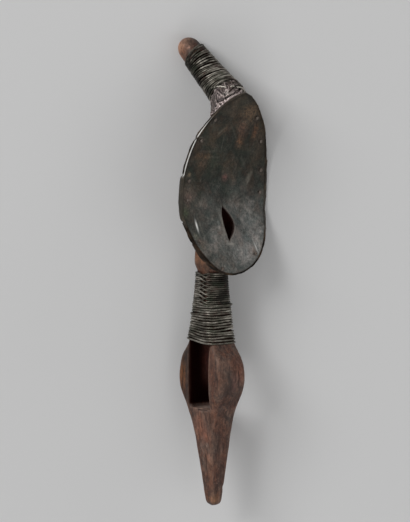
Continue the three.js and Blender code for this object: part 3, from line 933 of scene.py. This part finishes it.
# The seam in the collar's front: a point on it, and the way across it.
SEAM_PLACE = np.array([-12, -34.3, 349.3])
SEAM_ACROSS = np.array([-0.45, 0.1, 0.89])
# Where the collar is painted lighter or darker than elsewhere: painted shade among the wires at its top,
# darker on its right, and a painted highlight on the flap by the face.
COLLAR_TONES_AND_PAINTED_LIGHT = [
    ((-9, -24, 361), (6, 6, 4), -1.2),
    ((4, -33, 358), (7, 6, 4), -0.9),
    ((-17, -23, 348), (7, 8, 8), -0.8),
    ((-14, -37, 345), (6, 6, 3), 0.9),
]


def make_collar(material):
    """The crumpled sheet round the crown, in folds that run up to the chignon."""
    outer = np.array([crown_ring(share, 0, COLLAR_SIDES) for share in np.linspace(0.01, 0.99, 44)])
    inner = [crown_ring(share, COLLAR_THICKNESS, COLLAR_SIDES) for share in np.linspace(0.01, 0.99, 6)]
    piece, points, outside = sheet_piece("collar_crumpled", outer, inner)
    share = np.concatenate([np.linspace(0, 1, len(outer)), np.linspace(1, 0, len(inner))])
    turn = np.tile(turn_round(COLLAR_SIDES), len(share))
    spread = np.stack([np.cos(turn), np.sin(turn), np.repeat(share, COLLAR_SIDES)], -1)
    folds = 1 - np.abs(noise(spread * (3.1, 3.1, 1.3) + 0.35 * noise(points, 5, 33)[:, None], 1, 31)) * 2.6
    creases = 1 - np.abs(noise(spread * (6, 6, 4.5) + 0.5 * noise(points, 4, 34)[:, None], 1, 32)) * 3
    seam = (points - SEAM_PLACE) @ unit(SEAM_ACROSS)
    in_front = smooth((-27 - points[:, 1]) / 3)
    relief = 1.0 * np.maximum(folds, 0) + 0.45 * np.maximum(creases, 0)
    relief += in_front * (0.6 * hump(seam + 1.6, 0.9) - 1.3 * hump(seam, 0.7))
    points = shape_surface(piece.data, points, outside * np.maximum(relief, -0.35), 4, COLLAR_CRUMPLE_HEIGHT)
    # A painted highlight on the collar's front, by the face.
    store(piece.data, "painted_highlight", nearness(points, (-9.8, -34.2, 352.5), (4, 5, 3.2), 1))
    store(piece.data, "tone_and_painted_light", tones(points, COLLAR_TONES_AND_PAINTED_LIGHT))
    finish_piece(piece, points, ["collar_sheet"], material)


TUBE_SIDES = 8


def tube(points, middle, thickness, closed):
    """A wire along `points`, its seam turned away from `middle`."""
    following = np.roll(points, -1, 0) - np.roll(points, 1, 0)
    if not closed:
        following[0] = points[1] - points[0]
        following[-1] = points[-1] - points[-2]
    along = unit(following)
    out = unit(points - middle)
    up = unit(out - along * (out * along).sum(-1, keepdims=True))[:, None]
    beside = np.cross(along[:, None], up)
    turn = turn_round(TUBE_SIDES)[:, None]
    rings = points[:, None] + thickness / 2 * (np.cos(turn) * up + np.sin(turn) * beside)
    if closed:
        return rings.reshape(-1, 3), strip_faces(len(points), TUBE_SIDES, True)
    return loft(rings)


def softened(values, width):
    """A running mean of a row of values, shorter by `width` - 1."""
    kernel = np.hanning(width)
    return np.convolve(values, kernel / kernel.sum(), "valid")


def settle(levels, diameter, most):
    """How far each turn is lifted off the wood where it crosses the turns laid before it."""
    lifts = np.zeros_like(levels)
    for i in range(1, len(levels)):
        gap = np.abs(levels[:i] - levels[i])
        over = np.sqrt(np.maximum(diameter ** 2 - gap ** 2, 0))
        need = np.where(gap < 0.85 * diameter, lifts[:i] + over, 0).max(axis=0)
        wide = np.maximum.reduce([np.roll(need, k) for k in range(-3, 4)])
        lifts[i] = np.minimum(softened(np.pad(wide, 8, "wrap"), 17), most)
    return lifts


def wander(draw, angle, size):
    """A slow random wave round one turn."""
    wave = np.zeros(len(angle))
    for order, share in ((1, 1), (2, 0.7), (3, 0.5), (5, 0.25)):
        wave += share * size * draw.uniform(0.3, 1) * np.sin(order * angle + draw.uniform(0, 2 * math.pi))
    return wave


def wire_shade(angle, turn, seed):
    """How light the wire is along its length, in long and short stretches, for each point of its skin."""
    around = np.stack([np.cos(angle), np.sin(angle), 0 * angle], -1)
    level = np.stack([0 * turn, 0 * turn, turn], -1)
    shade = noise(around * 1.6 + level, 1, seed) + 0.6 * noise(around * 5 + level, 1, seed + 10)
    return np.repeat(shade, TUBE_SIDES)


def finish_winding(name, parts, shades, areas, node, material):
    """One piece from all the wires of a winding, with how light each point of it is painted, painted light
    and shade from `areas` included.
    """
    points, faces = joined(parts)
    piece = mesh_piece(name, points, faces)
    store(piece.data, "shade", np.concatenate(shades) + tones(points, areas))
    finish_piece(piece, points, [node], material)


def strand(rows, lifts, tuck):
    """Turns that follow on as one wire, with both ends tucked under the turns beside them."""
    level = np.concatenate(rows)
    lift = softened(np.pad(np.concatenate(lifts), 4, "edge"), 9)
    return level, lift - tuck * (1 - between(np.arange(len(level)), 0, len(level) - 1, 8, 8))


NECK_STEPS = 144
# Below this height the wire is wound once, and above it wound up and then back down over itself. The two
# strands cross in a band on the figure's right, a little to the front.
CROSSED_FROM = 171.5
CROSSING = 3.52
CROSSING_WIDTH = 0.85
# The spacing of the turns, in thicknesses of wire, at the foot of the neck and where the strands cross.
NECK_LOOSE = 1.29
NECK_CLOSE = 1.05
# Where the neck's wire is painted lighter or darker than elsewhere: painted light and shade, with some of
# the wire's own tone.
NECK_TONES_AND_PAINTED_LIGHT = [
    ((4, -16, 190), (13, 10, 18), -1.1),
    ((-12, -5, 186), (4, 5, 14), -0.4),
    ((-3, -14, 178), (10, 8, 5), -0.4),
    ((8, -14, 156), (12, 10, 16), 0.5),
    ((14, -4, 158), (6, 10, 18), 0.5),
    ((-14, 2, 188), (5, 10, 14), 0.2),
    ((-10, 10, 203), (12, 8, 4), -0.8),
]


def neck_tilt(angle, z):
    """The lowest turns lie lower in front than at the back, and sag a little over the window."""
    return hump(z - NECK_FROM, 17) * (2.5 * np.sin(angle) - 0.7 * hump(np.abs(np.cos(angle)) - 1, 0.3))


def make_neck_wire(material, draw):
    """The wire round the neck: slack and wandering below, and doubled, its strands crossed, above."""
    turned = np.arange(NECK_STEPS) / NECK_STEPS
    angle = math.pi / 2 + 2 * math.pi * turned
    single = []
    z = NECK_FROM + 1.9
    while z < CROSSED_FROM:
        share = (z - NECK_FROM) / (CROSSED_FROM - NECK_FROM)
        pitch = NECK_WIRE * (NECK_LOOSE - 0.12 * share)
        wave = wander(draw, angle, 0.5 - 0.2 * share) * between(turned, 0, 1, 1 / 8, 1 / 8)
        single.append(z + pitch * turned + wave)
        z += pitch
    pitch = NECK_WIRE * NECK_CLOSE
    count = int((NECK_TO - NECK_WIRE / 2 - z) / (2 * pitch))
    step = smooth(0.5 + (angle - CROSSING) / CROSSING_WIDTH)
    rising = []
    falling = []
    for i in range(count):
        climb = 1 if i == count - 1 else 2
        drop = 2 if i else 1
        rising.append(z + pitch * (2 * i + climb * step) + wander(draw, angle, 0.08))
        falling.append(z + pitch * (2 * i + 1 - drop * step) + wander(draw, angle, 0.08))
    rows = single + rising + falling[::-1]
    lifts = settle(np.array(rows), NECK_WIRE, 0.85 * NECK_WIRE)
    parts = []
    shades = []
    ends = np.cumsum([0, len(single), count, count])
    for low, high in zip(ends, ends[1:]):
        level, lift = strand(rows[low:high], lifts[low:high], NECK_WIRE)
        around = np.tile(angle, high - low)
        place = shaft_point(level, around, GAP + NECK_WIRE / 2 + lift)
        place[:, 2] += neck_tilt(around, level)
        middle = np.stack([0 * level, -shaft_at(level)[:, 3], place[:, 2]], -1)
        parts.append(tube(place, middle, NECK_WIRE, False))
        turn = np.repeat(np.arange(low, high), NECK_STEPS)
        shades.append(0.8 * wire_shade(around, turn * 7.3, 41))
    finish_winding("neck_winding", parts, shades, NECK_TONES_AND_PAINTED_LIGHT, "neck_wire", material)


CHIGNON_STEPS = 112
CHIGNON_LENGTH = 52.0
CHIGNON_FROM = 2.4
CHIGNON_TO = 45.6
# From the base to the tip: the wire's thickness, the spacing of its turns and how far they wander.
CHIGNON_WIRES = [1.6, 1.3]
CHIGNON_PITCHES = [2.15, 1.42]
CHIGNON_WANDERS = [0.55, 0.22]
# Loose strands of wire over the collar: how light each is painted, the light ones with a painted highlight,
# and points along it.
LOOSE_ENDS = [
    (2.0, [(-13.2, -17.5, 356.6), (-11.6, -22, 357.8), (-10, -26, 358), (-8.2, -30, 357.3)]),
    (2.0, [(-5.4, -31.4, 357.2), (-4.2, -32.6, 358.3), (-3, -33.2, 358), (-2, -33.4, 356.8)]),
    (2.0, [(-0.8, -34.2, 357.4), (2.4, -34.8, 357.2), (5.2, -34.6, 355.8), (7.6, -33.4, 353.4)]),
    (-0.9, [(-9.1, -21.1, 363.7), (-4, -24.4, 364.6), (0.8, -26.8, 363.8),
            (4.3, -29.1, 361.2), (8.2, -30.2, 357.6)]),
    (-0.6, [(-8.4, -24, 361.4), (-3.4, -28, 361.6), (1.2, -30, 360.9), (5.4, -31, 358.6), (9, -30.5, 355)]),
    (-1.2, [(-8.5, -33.9, 353.4), (-4.2, -33.8, 356.7), (0.7, -33.1, 358.3),
            (5.4, -33.9, 355.8), (8.5, -32.4, 352.6)]),
]
LOOSE_STEPS = 60
LOOSE_LIFT = 0.8
# Where the chignon's wire is painted lighter or darker than elsewhere: its own tone, painted shade down its
# side on the figure's right, and a painted glint at its front.
CHIGNON_TONES_AND_PAINTED_LIGHT = [
    ((-10, 18, 384), (12, 12, 9), -0.8),
    ((-2, -16, 366), (12, 9, 9), 0.45),
    ((-16.5, 9, 376), (3.5, 7, 8), -0.9),
    ((-14, 2, 362), (4, 5, 8), -0.9),
    ((-14, -10, 354), (8, 8, 6), -0.5),
    ((6, -4, 376), (8, 10, 10), 0.15),
    ((-7.3, -19.5, 366.8), (2.4, 2.6, 1.8), 4.0),
    ((-14, 8, 380), (7, 7, 3), 0.5),
    ((-8, -2, 372), (12, 5, 2), -0.9),
    ((-9, 12, 384), (10, 4, 1.6), -0.8),
]


def make_chignon_wire(material, draw):
    """Turns of wire up the chignon: thick, loose and uneven at its base, fine and close at its tip."""
    angle = turn_round(CHIGNON_STEPS)
    rows = []
    sizes = []
    level = CHIGNON_FROM
    while level < CHIGNON_TO:
        share = (level - CHIGNON_FROM) / (CHIGNON_TO - CHIGNON_FROM)
        rows.append(level + wander(draw, angle, np.interp(share, (0, 1), CHIGNON_WANDERS)))
        sizes.append(np.interp(share, (0, 1), CHIGNON_WIRES) * draw.uniform(0.88, 1.12))
        pitch = np.interp(share, (0, 0.45, 1), (CHIGNON_PITCHES[0], *CHIGNON_PITCHES))
        level += pitch * draw.uniform(0.8, 1.2)
    lifts = settle(np.array(rows), CHIGNON_WIRES[1], 1.1)
    parts = []
    shades = []
    for number, (ring, lift, thickness) in enumerate(zip(rows, lifts, sizes)):
        t = ring / CHIGNON_LENGTH
        middle, direction, radius = chignon_at(t)
        tilt = 3.5 * hump(t - 0.38, 0.38) - 2.6 * smooth((t - 0.55) / 0.3)
        place = round_ring(middle, direction, radius + GAP + thickness / 2 + lift, angle)
        upright = unit(np.array([0, 0, 1]) - direction * direction[:, 2:])
        slant = ((place - middle) * upright).sum(-1) / radius
        place = place - direction * (tilt * slant)[:, None]
        parts.append(tube(place, middle, thickness, True))
        shades.append(1.1 * wire_shade(angle, 0 * angle + number * 5.7, 42))
    for shade, ends in LOOSE_ENDS:
        path = curve(ends, np.linspace(0, len(ends) - 1.0001, LOOSE_STEPS), "clip")
        path += LOOSE_LIFT * unit(path - COLLAR_MIDDLE)
        parts.append(tube(path, COLLAR_MIDDLE, CHIGNON_WIRES[0], False))
        shades.append(np.full(LOOSE_STEPS * TUBE_SIDES, 1.1 * shade))
    finish_winding("chignon_winding", parts, shades, CHIGNON_TONES_AND_PAINTED_LIGHT, "chignon_wire", material)


def make_tack(number, x, z, material, draw):
    """A worn round tack head, square to the sheet."""
    forward = face_forward(x, z)
    out = unit(np.array([forward - face_forward(x + 1, z), -1, forward - face_forward(x, z + 1)]))
    across = unit(np.cross(out, np.array([0, 0, 1.0])))
    along = np.cross(out, across)
    angle = turn_round(TACK_SIDES)[:, None]
    uneven = 1 - 0.12 * draw.random(TACK_SIDES)[:, None]
    rings = []
    for lift in np.linspace(0, 1, 7) * math.pi / 2:
        radius = TACK_RADIUS * max(math.cos(lift), 0.08) * uneven
        middle = np.array([x, -forward, z]) + out * (TACK_HEIGHT * math.sin(lift) * 0.95 + 0.05)
        rings.append(middle + radius * np.cos(angle) * across + radius * np.sin(angle) * along)
    points, faces = loft(rings)
    piece = mesh_piece(f"tack_head_{number}", points, faces)
    finish_piece(piece, points, [f"tack_{number}"], material)


class Nodes:
    """A material's node tree, with short ways to add and link nodes. `colour` is what is painted so far."""

    def __init__(self, name):
        self.material = bpy.data.materials.new(name)
        self.material.use_nodes = True
        self.tree = self.material.node_tree
        self.colour = None

    def put(self, socket, value):
        if isinstance(value, bpy.types.NodeSocket):
            self.tree.links.new(value, socket)
        else:
            socket.default_value = (*value, 1) if socket.type == "RGBA" and len(value) == 3 else value

    def node(self, kind, inputs=(), **settings):
        """A new node, with values or other nodes' outputs put into its inputs."""
        node = self.tree.nodes.new("ShaderNode" + kind)
        for key, value in settings.items():
            setattr(node, key, value)
        for key, value in dict(inputs).items():
            self.put(node.inputs[key], value)
        return node

    def add(self, kind, inputs, output=0, **settings):
        return self.node(kind, inputs, **settings).outputs[output]

    def kept(self, name, output="Fac"):
        return self.add("Attribute", {}, output, attribute_name=name)

    def maths(self, operation, a, b=0.0, clamp=False):
        return self.add("Math", {0: a, 1: b}, operation=operation, use_clamp=clamp)

    def times(self, a, b):
        return self.maths("MULTIPLY", a, b)

    def scaled(self, vector, factor):
        return self.add("VectorMath", {0: vector, 1: factor}, operation="MULTIPLY")

    def noise(self, scale, rise=1, detail=4, roughness=0.6, distortion=0.0, depth=1):
        """Noise in the figure's own frame, drawn out upwards where `rise` is below 1."""
        return self.add("TexNoise", {
            "Vector": self.scaled(self.kept("place", "Vector"), (1, depth, rise)), "Scale": scale,
            "Detail": detail, "Roughness": roughness, "Distortion": distortion,
        })

    def ramp(self, value, stops):
        """A colour, or a grey, for each stop: (place, colour)."""
        node = self.node("ValToRGB", {"Fac": value})
        elements = node.color_ramp.elements
        while len(elements) < len(stops):
            elements.new(0.5)
        for element, (place, colour) in zip(elements, stops):
            element.position = place
            element.color = (*colour, 1) if isinstance(colour, tuple) else (colour, colour, colour, 1)
        return node.outputs["Color"]

    def mask(self, value, low, high, at_low=0, at_high=1):
        """A grey that runs from one value to another while `value` goes from `low` to `high`."""
        return self.ramp(value, [(low, at_low), (high, at_high)])

    def shades(self, value, reach, dark, middle, light):
        """Three colours round the middle of a noise."""
        return self.ramp(value, [(0.5 - reach, dark), (0.5, middle), (0.5 + reach, light)])

    def hairs(self, turn, across, along, width):
        """Thin broken lines, `across` millimetres apart and `along` long, turned in the face's plane."""
        turned = self.add("VectorRotate", {"Vector": self.kept("place", "Vector"), "Angle": turn},
                          rotation_type="Y_AXIS")
        level = self.add("TexNoise", {
            "Vector": self.scaled(turned, (1 / across, 1 / along, 1 / along)), "Scale": 1.0, "Detail": 2,
            "Roughness": 0.6,
        })
        return self.times(self.shades(level, width, 0, 1, 0), self.mask(self.noise(0.14), 0.48, 0.6))

    def mix(self, share, low, high):
        return self.add("Mix", {0: share, 6: low, 7: high}, 2, data_type="RGBA")

    def paint(self, share, colour, strength=None):
        """Lays a colour over what is painted so far."""
        if strength is not None:
            share = self.maths("MULTIPLY", share, strength, True)
        self.colour = self.mix(share, self.colour, colour)

    def scale(self, factor):
        self.colour = self.scaled(self.colour, factor)

    def bump(self, height, distance, strength=1.0, under=None):
        inputs = {"Height": height, "Distance": distance, "Strength": strength}
        if under is not None:
            inputs["Normal"] = under
        return self.add("Bump", inputs)

    def surface(self, **values):
        shader = self.tree.nodes["Principled BSDF"]
        self.put(shader.inputs["Base Color"], self.colour)
        for key, value in values.items():
            self.put(shader.inputs[key.replace("_", " ").title().replace("Ior", "IOR")], value)
        return self.material


def wood_material():
    n = Nodes("old_wood")
    grain = n.noise(0.42, 0.2, 8, 0.72, 0.8)
    broad = n.noise(0.08, 0.5, 5, 0.62, 0.4)
    blotch = n.noise(0.2, 0.7, 7, 0.66, 0.9)
    fleck = n.noise(0.9, 0.7, 4, 0.68)
    n.colour = n.shades(grain, 0.18, (0.026, 0.009, 0.006), (0.082, 0.033, 0.02), (0.17, 0.074, 0.044))
    grey = n.shades(grain, 0.18, (0.02, 0.011, 0.009), (0.064, 0.041, 0.032), (0.13, 0.087, 0.066))
    n.paint(n.mask(broad, 0.42, 0.6), grey)
    n.paint(n.mask(blotch, 0.36, 0.47, 0.75, 0), (0.03, 0.013, 0.009))
    n.paint(n.mask(blotch, 0.56, 0.68, 0, 0.55), (0.2, 0.088, 0.052))
    ragged = n.mask(grain, 0.3, 0.6, 0.25, 1)
    n.paint(n.times(n.kept("patch", "Alpha"), ragged), n.kept("patch", "Color"))
    ridges_and_grooves = n.kept("ridges_and_grooves")
    lightened = n.mask(n.noise(0.3, 0.4), 0.35, 0.6)
    worn = n.maths("MULTIPLY", n.maths("MAXIMUM", ridges_and_grooves, 0), lightened, True)
    n.paint(worn, (0.23, 0.135, 0.095), 0.7)
    n.paint(n.mask(fleck, 0.6, 0.72, 0, 0.7), (0.26, 0.155, 0.12))
    n.paint(n.mask(fleck, 0.28, 0.4, 0.9, 0), (0.018, 0.008, 0.006))
    n.paint(ridges_and_grooves, (0.016, 0.007, 0.005), -0.9)
    n.scale(n.shades(n.noise(0.3, 0.6, 5, 0.7, 0.6), 0.16, 0.34, 0.5, 0.72))
    # Lighter or darker by the table of tones, painted light and shade among them.
    n.scale(n.maths("POWER", 2.0, n.maths("ADD", n.kept("tone_and_painted_light"), 1.0)))
    painted_shade = n.kept("painted_shade")
    # Painted shade, nearly black, inside the window, under the windings and in the mouth.
    n.paint(painted_shade, (0.014, 0.0014, 0.0008), 0.97)
    pits = n.noise(1.6, 0.2, 3, 0.7)
    bump = n.bump(pits, 0.0004, 0.6, n.bump(grain, 0.0006, 0.5))
    # The painted shade is also made metallic and fully rough, so that it takes no pale haze of reflection.
    rough = n.mix(painted_shade, n.mask(n.noise(0.3, 0.3), 0.3, 0.7, 0.42, 0.66), (1.0, 1.0, 1.0))
    return n.surface(metallic=painted_shade, roughness=rough, normal=bump, specular_ior_level=0.3)


def sheet_material():
    n = Nodes("dark_copper_sheet")
    tarnish = n.noise(0.055, 0.8, 9, 0.68, 0.7)
    cloud = n.noise(0.1, 1, 6, 0.6, 0.5)
    fine = n.noise(0.62, 0.8, 5, 0.72, 0.4)
    sheen_and_tarnish = n.kept("sheen_and_tarnish")
    # Dark tarnish above, and below a pale grey that carries a painted sheen of reflected light.
    upper = n.shades(tarnish, 0.12, (0.01, 0.01, 0.006), (0.025, 0.022, 0.014), (0.062, 0.044, 0.027))
    lower = n.shades(tarnish, 0.12, (0.072, 0.076, 0.07), (0.168, 0.165, 0.154), (0.29, 0.272, 0.256))
    n.colour = n.mix(sheen_and_tarnish, upper, lower)
    greenish = n.mix(sheen_and_tarnish, (0.018, 0.026, 0.018), (0.105, 0.128, 0.123))
    brownish = n.mix(sheen_and_tarnish, (0.038, 0.024, 0.014), (0.18, 0.15, 0.13))
    n.paint(n.mask(cloud, 0.46, 0.6, 0, 0.6), greenish)
    n.paint(n.mask(cloud, 0.36, 0.46, 0.6, 0), brownish)
    spots, spotted = n.kept("patch", "Color"), n.kept("patch", "Alpha")
    n.paint(n.times(spotted, n.mask(fine, 0.35, 0.6, 0.3, 1)), spots)
    n.scale(n.times(n.shades(fine, 0.16, 0.33, 0.6, 0.95), 1.55))
    hairs = n.maths("MAXIMUM", n.hairs(0.5, 2.2, 22, 0.012), n.hairs(-0.7, 2.8, 26, 0.011))
    hairs = n.times(n.maths("MAXIMUM", hairs, n.hairs(1.45, 3.0, 30, 0.01)), 0.6)
    n.paint(hairs, n.mix(sheen_and_tarnish, (0.1, 0.088, 0.068), (0.3, 0.28, 0.26)))
    specks = n.mask(n.noise(0.8, 1, 3, 0.7), 0.62, 0.69, 0, 0.8)
    n.paint(specks, n.mix(sheen_and_tarnish, (0.075, 0.062, 0.045), (0.36, 0.34, 0.31)))
    # Pale for the scratches, painted highlights and painted sheen streaks, dark for the dark marks.
    scratch_and_highlight = n.times(n.kept("scratch_and_highlight"), n.mask(fine, 0.3, 0.6, 0.6, 1))
    n.paint(scratch_and_highlight, n.mix(sheen_and_tarnish, (0.2, 0.185, 0.15), (0.36, 0.34, 0.31)), 1.0)
    n.paint(scratch_and_highlight, (0.012, 0.011, 0.009), -1.0)
    ridges_and_grooves = n.kept("ridges_and_grooves")
    n.paint(ridges_and_grooves, (0.22, 0.195, 0.16), 0.3)
    n.paint(ridges_and_grooves, (0.01, 0.008, 0.006), -0.6)
    # The border band painted dark: painted shade, with the sheet's own spots.
    border = n.kept("border")
    shaded_edging = n.shades(cloud, 0.12, (0.006, 0.005, 0.003), (0.022, 0.014, 0.009), (0.085, 0.052, 0.031))
    shaded_edging = n.mix(n.times(spotted, n.mask(fine, 0.4, 0.55, 0.2, 0.9)), shaded_edging, spots)
    n.paint(border, shaded_edging, 0.92)
    # Painted shade on the sheet's lip inside the mouth.
    n.paint(n.kept("edge"), (0.03, 0.012, 0.01))
    painted_highlight = n.kept("painted_highlight")
    # Painted highlights, near white.
    n.paint(painted_highlight, (0.95, 0.94, 0.9))
    bump = n.bump(n.noise(0.9, 0.2, 6, 0.75, 1.0, 0.4), 0.0004, 0.35)
    bump = n.bump(hairs, 0.0003, 0.5, bump)
    dull = n.times(border, n.maths("SUBTRACT", 1.0, painted_highlight))
    rough = n.mix(dull, n.mask(n.noise(0.2, 1, 5, 0.7), 0.3, 0.7, 0.34, 0.56), (0.8, 0.8, 0.8))
    metal = n.maths("ADD", 0.5, n.times(dull, 0.42))
    return n.surface(metallic=metal, roughness=rough, normal=bump)


def collar_material():
    n = Nodes("crumpled_sheet")
    mottle = n.noise(0.45, 1, 6, 0.68, 0.8)
    n.colour = n.shades(mottle, 0.16, (0.026, 0.015, 0.014), (0.1, 0.066, 0.061), (0.25, 0.195, 0.18))
    # Painted highlight on the front, by the face.
    n.paint(n.kept("painted_highlight"), (0.36, 0.33, 0.3), 0.8)
    n.paint(n.mask(n.noise(0.16, 1, 4, 0.6, 0.4), 0.5, 0.62, 0, 0.6), (0.15, 0.115, 0.075))
    n.paint(n.mask(n.noise(0.3, 1, 5, 0.65, 0.5), 0.36, 0.45, 0.7, 0), (0.02, 0.013, 0.012))
    ridges_and_grooves = n.kept("ridges_and_grooves")
    # Painted highlight on the crumples' ridges, and painted shade in their creases.
    n.paint(ridges_and_grooves, (0.6, 0.5, 0.48), 0.85)
    n.paint(ridges_and_grooves, (0.01, 0.006, 0.006), -1.8)
    # Lighter or darker by the table of tones: painted shade among the wires and a painted highlight by the
    # face.
    n.scale(n.maths("POWER", 2.0, n.kept("tone_and_painted_light")))
    bump = n.bump(n.noise(1.3, 1, 4, 0.7), 0.0004, 0.5)
    return n.surface(metallic=0.4, roughness=0.4, normal=bump)


def wire_material():
    n = Nodes("tarnished_wire")
    mottle = n.maths("ADD", n.times(n.noise(0.5, 1, 5, 0.7, 0.3), 0.4), 0.3)
    # How light the wire is painted: its patina, and painted light and shade from the tables of tones.
    tone_and_painted_light = n.maths("ADD", mottle, n.times(n.kept("shade"), 0.3), True)
    dark, middle, light = (0.022, 0.019, 0.014), (0.135, 0.122, 0.098), (0.42, 0.39, 0.34)
    n.colour = n.ramp(tone_and_painted_light, [(0.22, dark), (0.5, middle), (0.8, light)])
    n.paint(n.mask(n.noise(0.13, 1, 3), 0.56, 0.66), (0.07, 0.036, 0.03), 0.55)
    n.paint(n.mask(n.noise(0.11, 1.3, 3, 0.5, 0.2), 0.56, 0.66), (0.052, 0.064, 0.042), 0.45)
    bump = n.bump(n.noise(1.8, 1, 3, 0.7), 0.0002, 0.4)
    return n.surface(metallic=0.7, roughness=0.4, normal=bump)


def tack_material():
    n = Nodes("rusty_tack")
    mottle = n.noise(0.9, 1, 4, 0.6, 0.3)
    n.colour = n.shades(mottle, 0.2, (0.04, 0.03, 0.024), (0.115, 0.088, 0.07), (0.24, 0.2, 0.17))
    return n.surface(metallic=0.4, roughness=0.5, normal=n.bump(mottle, 0.0004, 0.5))


def make_floor():
    corners = 4.0 * np.array([(-1, -1, 0), (1, -1, 0), (1, 1, 0), (-1, 1, 0)])
    floor = mesh_piece("floor", corners, [[0, 1, 2, 3]])
    n = Nodes("pale_floor")
    n.colour = (0.62, 0.62, 0.62)
    floor.data.materials.append(n.surface(roughness=0.85))


# The photograph's camera, in the figure's own frame: how far away it stands, how far round to the figure's
# right, how high, and what it looks at.
CAMERA_DISTANCE = 2164.0
CAMERA_ROUND = math.radians(38)
CAMERA_HEIGHT = 390.0
AIM_HEIGHT = 210.0
AIM_SIDE = -6.0
PIXELS_HIGH = 522
MM_PER_PIXEL = 0.852


def make_camera():
    across, along = math.sin(CAMERA_ROUND), math.cos(CAMERA_ROUND)
    eye = np.array([-across * CAMERA_DISTANCE, -along * CAMERA_DISTANCE, CAMERA_HEIGHT])
    aim = np.array([along * AIM_SIDE, -across * AIM_SIDE, AIM_HEIGHT])
    back = TURN @ unit(eye - aim)
    right = unit(np.cross(TURN @ np.array([0, 0, 1.0]), back))
    placed = np.eye(4)
    placed[:3] = np.stack([right, np.cross(back, right), back, laid(eye)], 1)
    data = bpy.data.cameras.new("camera")
    data.sensor_width = 36.0
    data.lens = np.linalg.norm(eye - aim) / MM_PER_PIXEL / PIXELS_HIGH * data.sensor_width
    camera = add_object("camera", data)
    camera.matrix_world = Matrix(placed.tolist())
    bpy.context.scene.camera = camera


def make_light(name, place, target, size, power):
    data = bpy.data.lights.new(name, "AREA")
    data.shape = "RECTANGLE"
    data.size, data.size_y = size
    data.energy = power
    light = add_object(name, data)
    light.location = place
    light.rotation_euler = (Vector(target) - Vector(place)).to_track_quat("-Z", "Y").to_euler()


def make_lights():
    make_light("key", (-2.5, 2.2, 2.7), (0, 0, 0), (2.4, 2.4), 96)
    make_light("fill", (2.8, -0.8, 2.6), (0, 0, 0), (2.6, 2.6), 26)
    make_light("front", (0.4, -2.6, 2.0), (0, -0.1, 0), (2.4, 1.4), 20)
    make_light("sheen", (2.4, 1.9, 0.7), (0, 0.03, 0.05), (1.6, 0.9), 9)
    world = bpy.data.worlds.new("studio")
    world.use_nodes = True
    background = world.node_tree.nodes["Background"]
    background.inputs["Color"].default_value = (1, 1, 1, 1)
    background.inputs["Strength"].default_value = 0.31
    bpy.context.scene.world = world
    bpy.context.scene.view_settings.view_transform = "Standard"


make_camera()
make_lights()
make_floor()
draw = np.random.default_rng(11)
make_wood(wood_material())
make_face_sheet(sheet_material())
make_collar(collar_material())
wire = wire_material()
make_neck_wire(wire, draw)
make_chignon_wire(wire, draw)
rusty = tack_material()
for number, (x, z) in enumerate(tack_places(), 1):
    make_tack(number, x, z, rusty, draw)
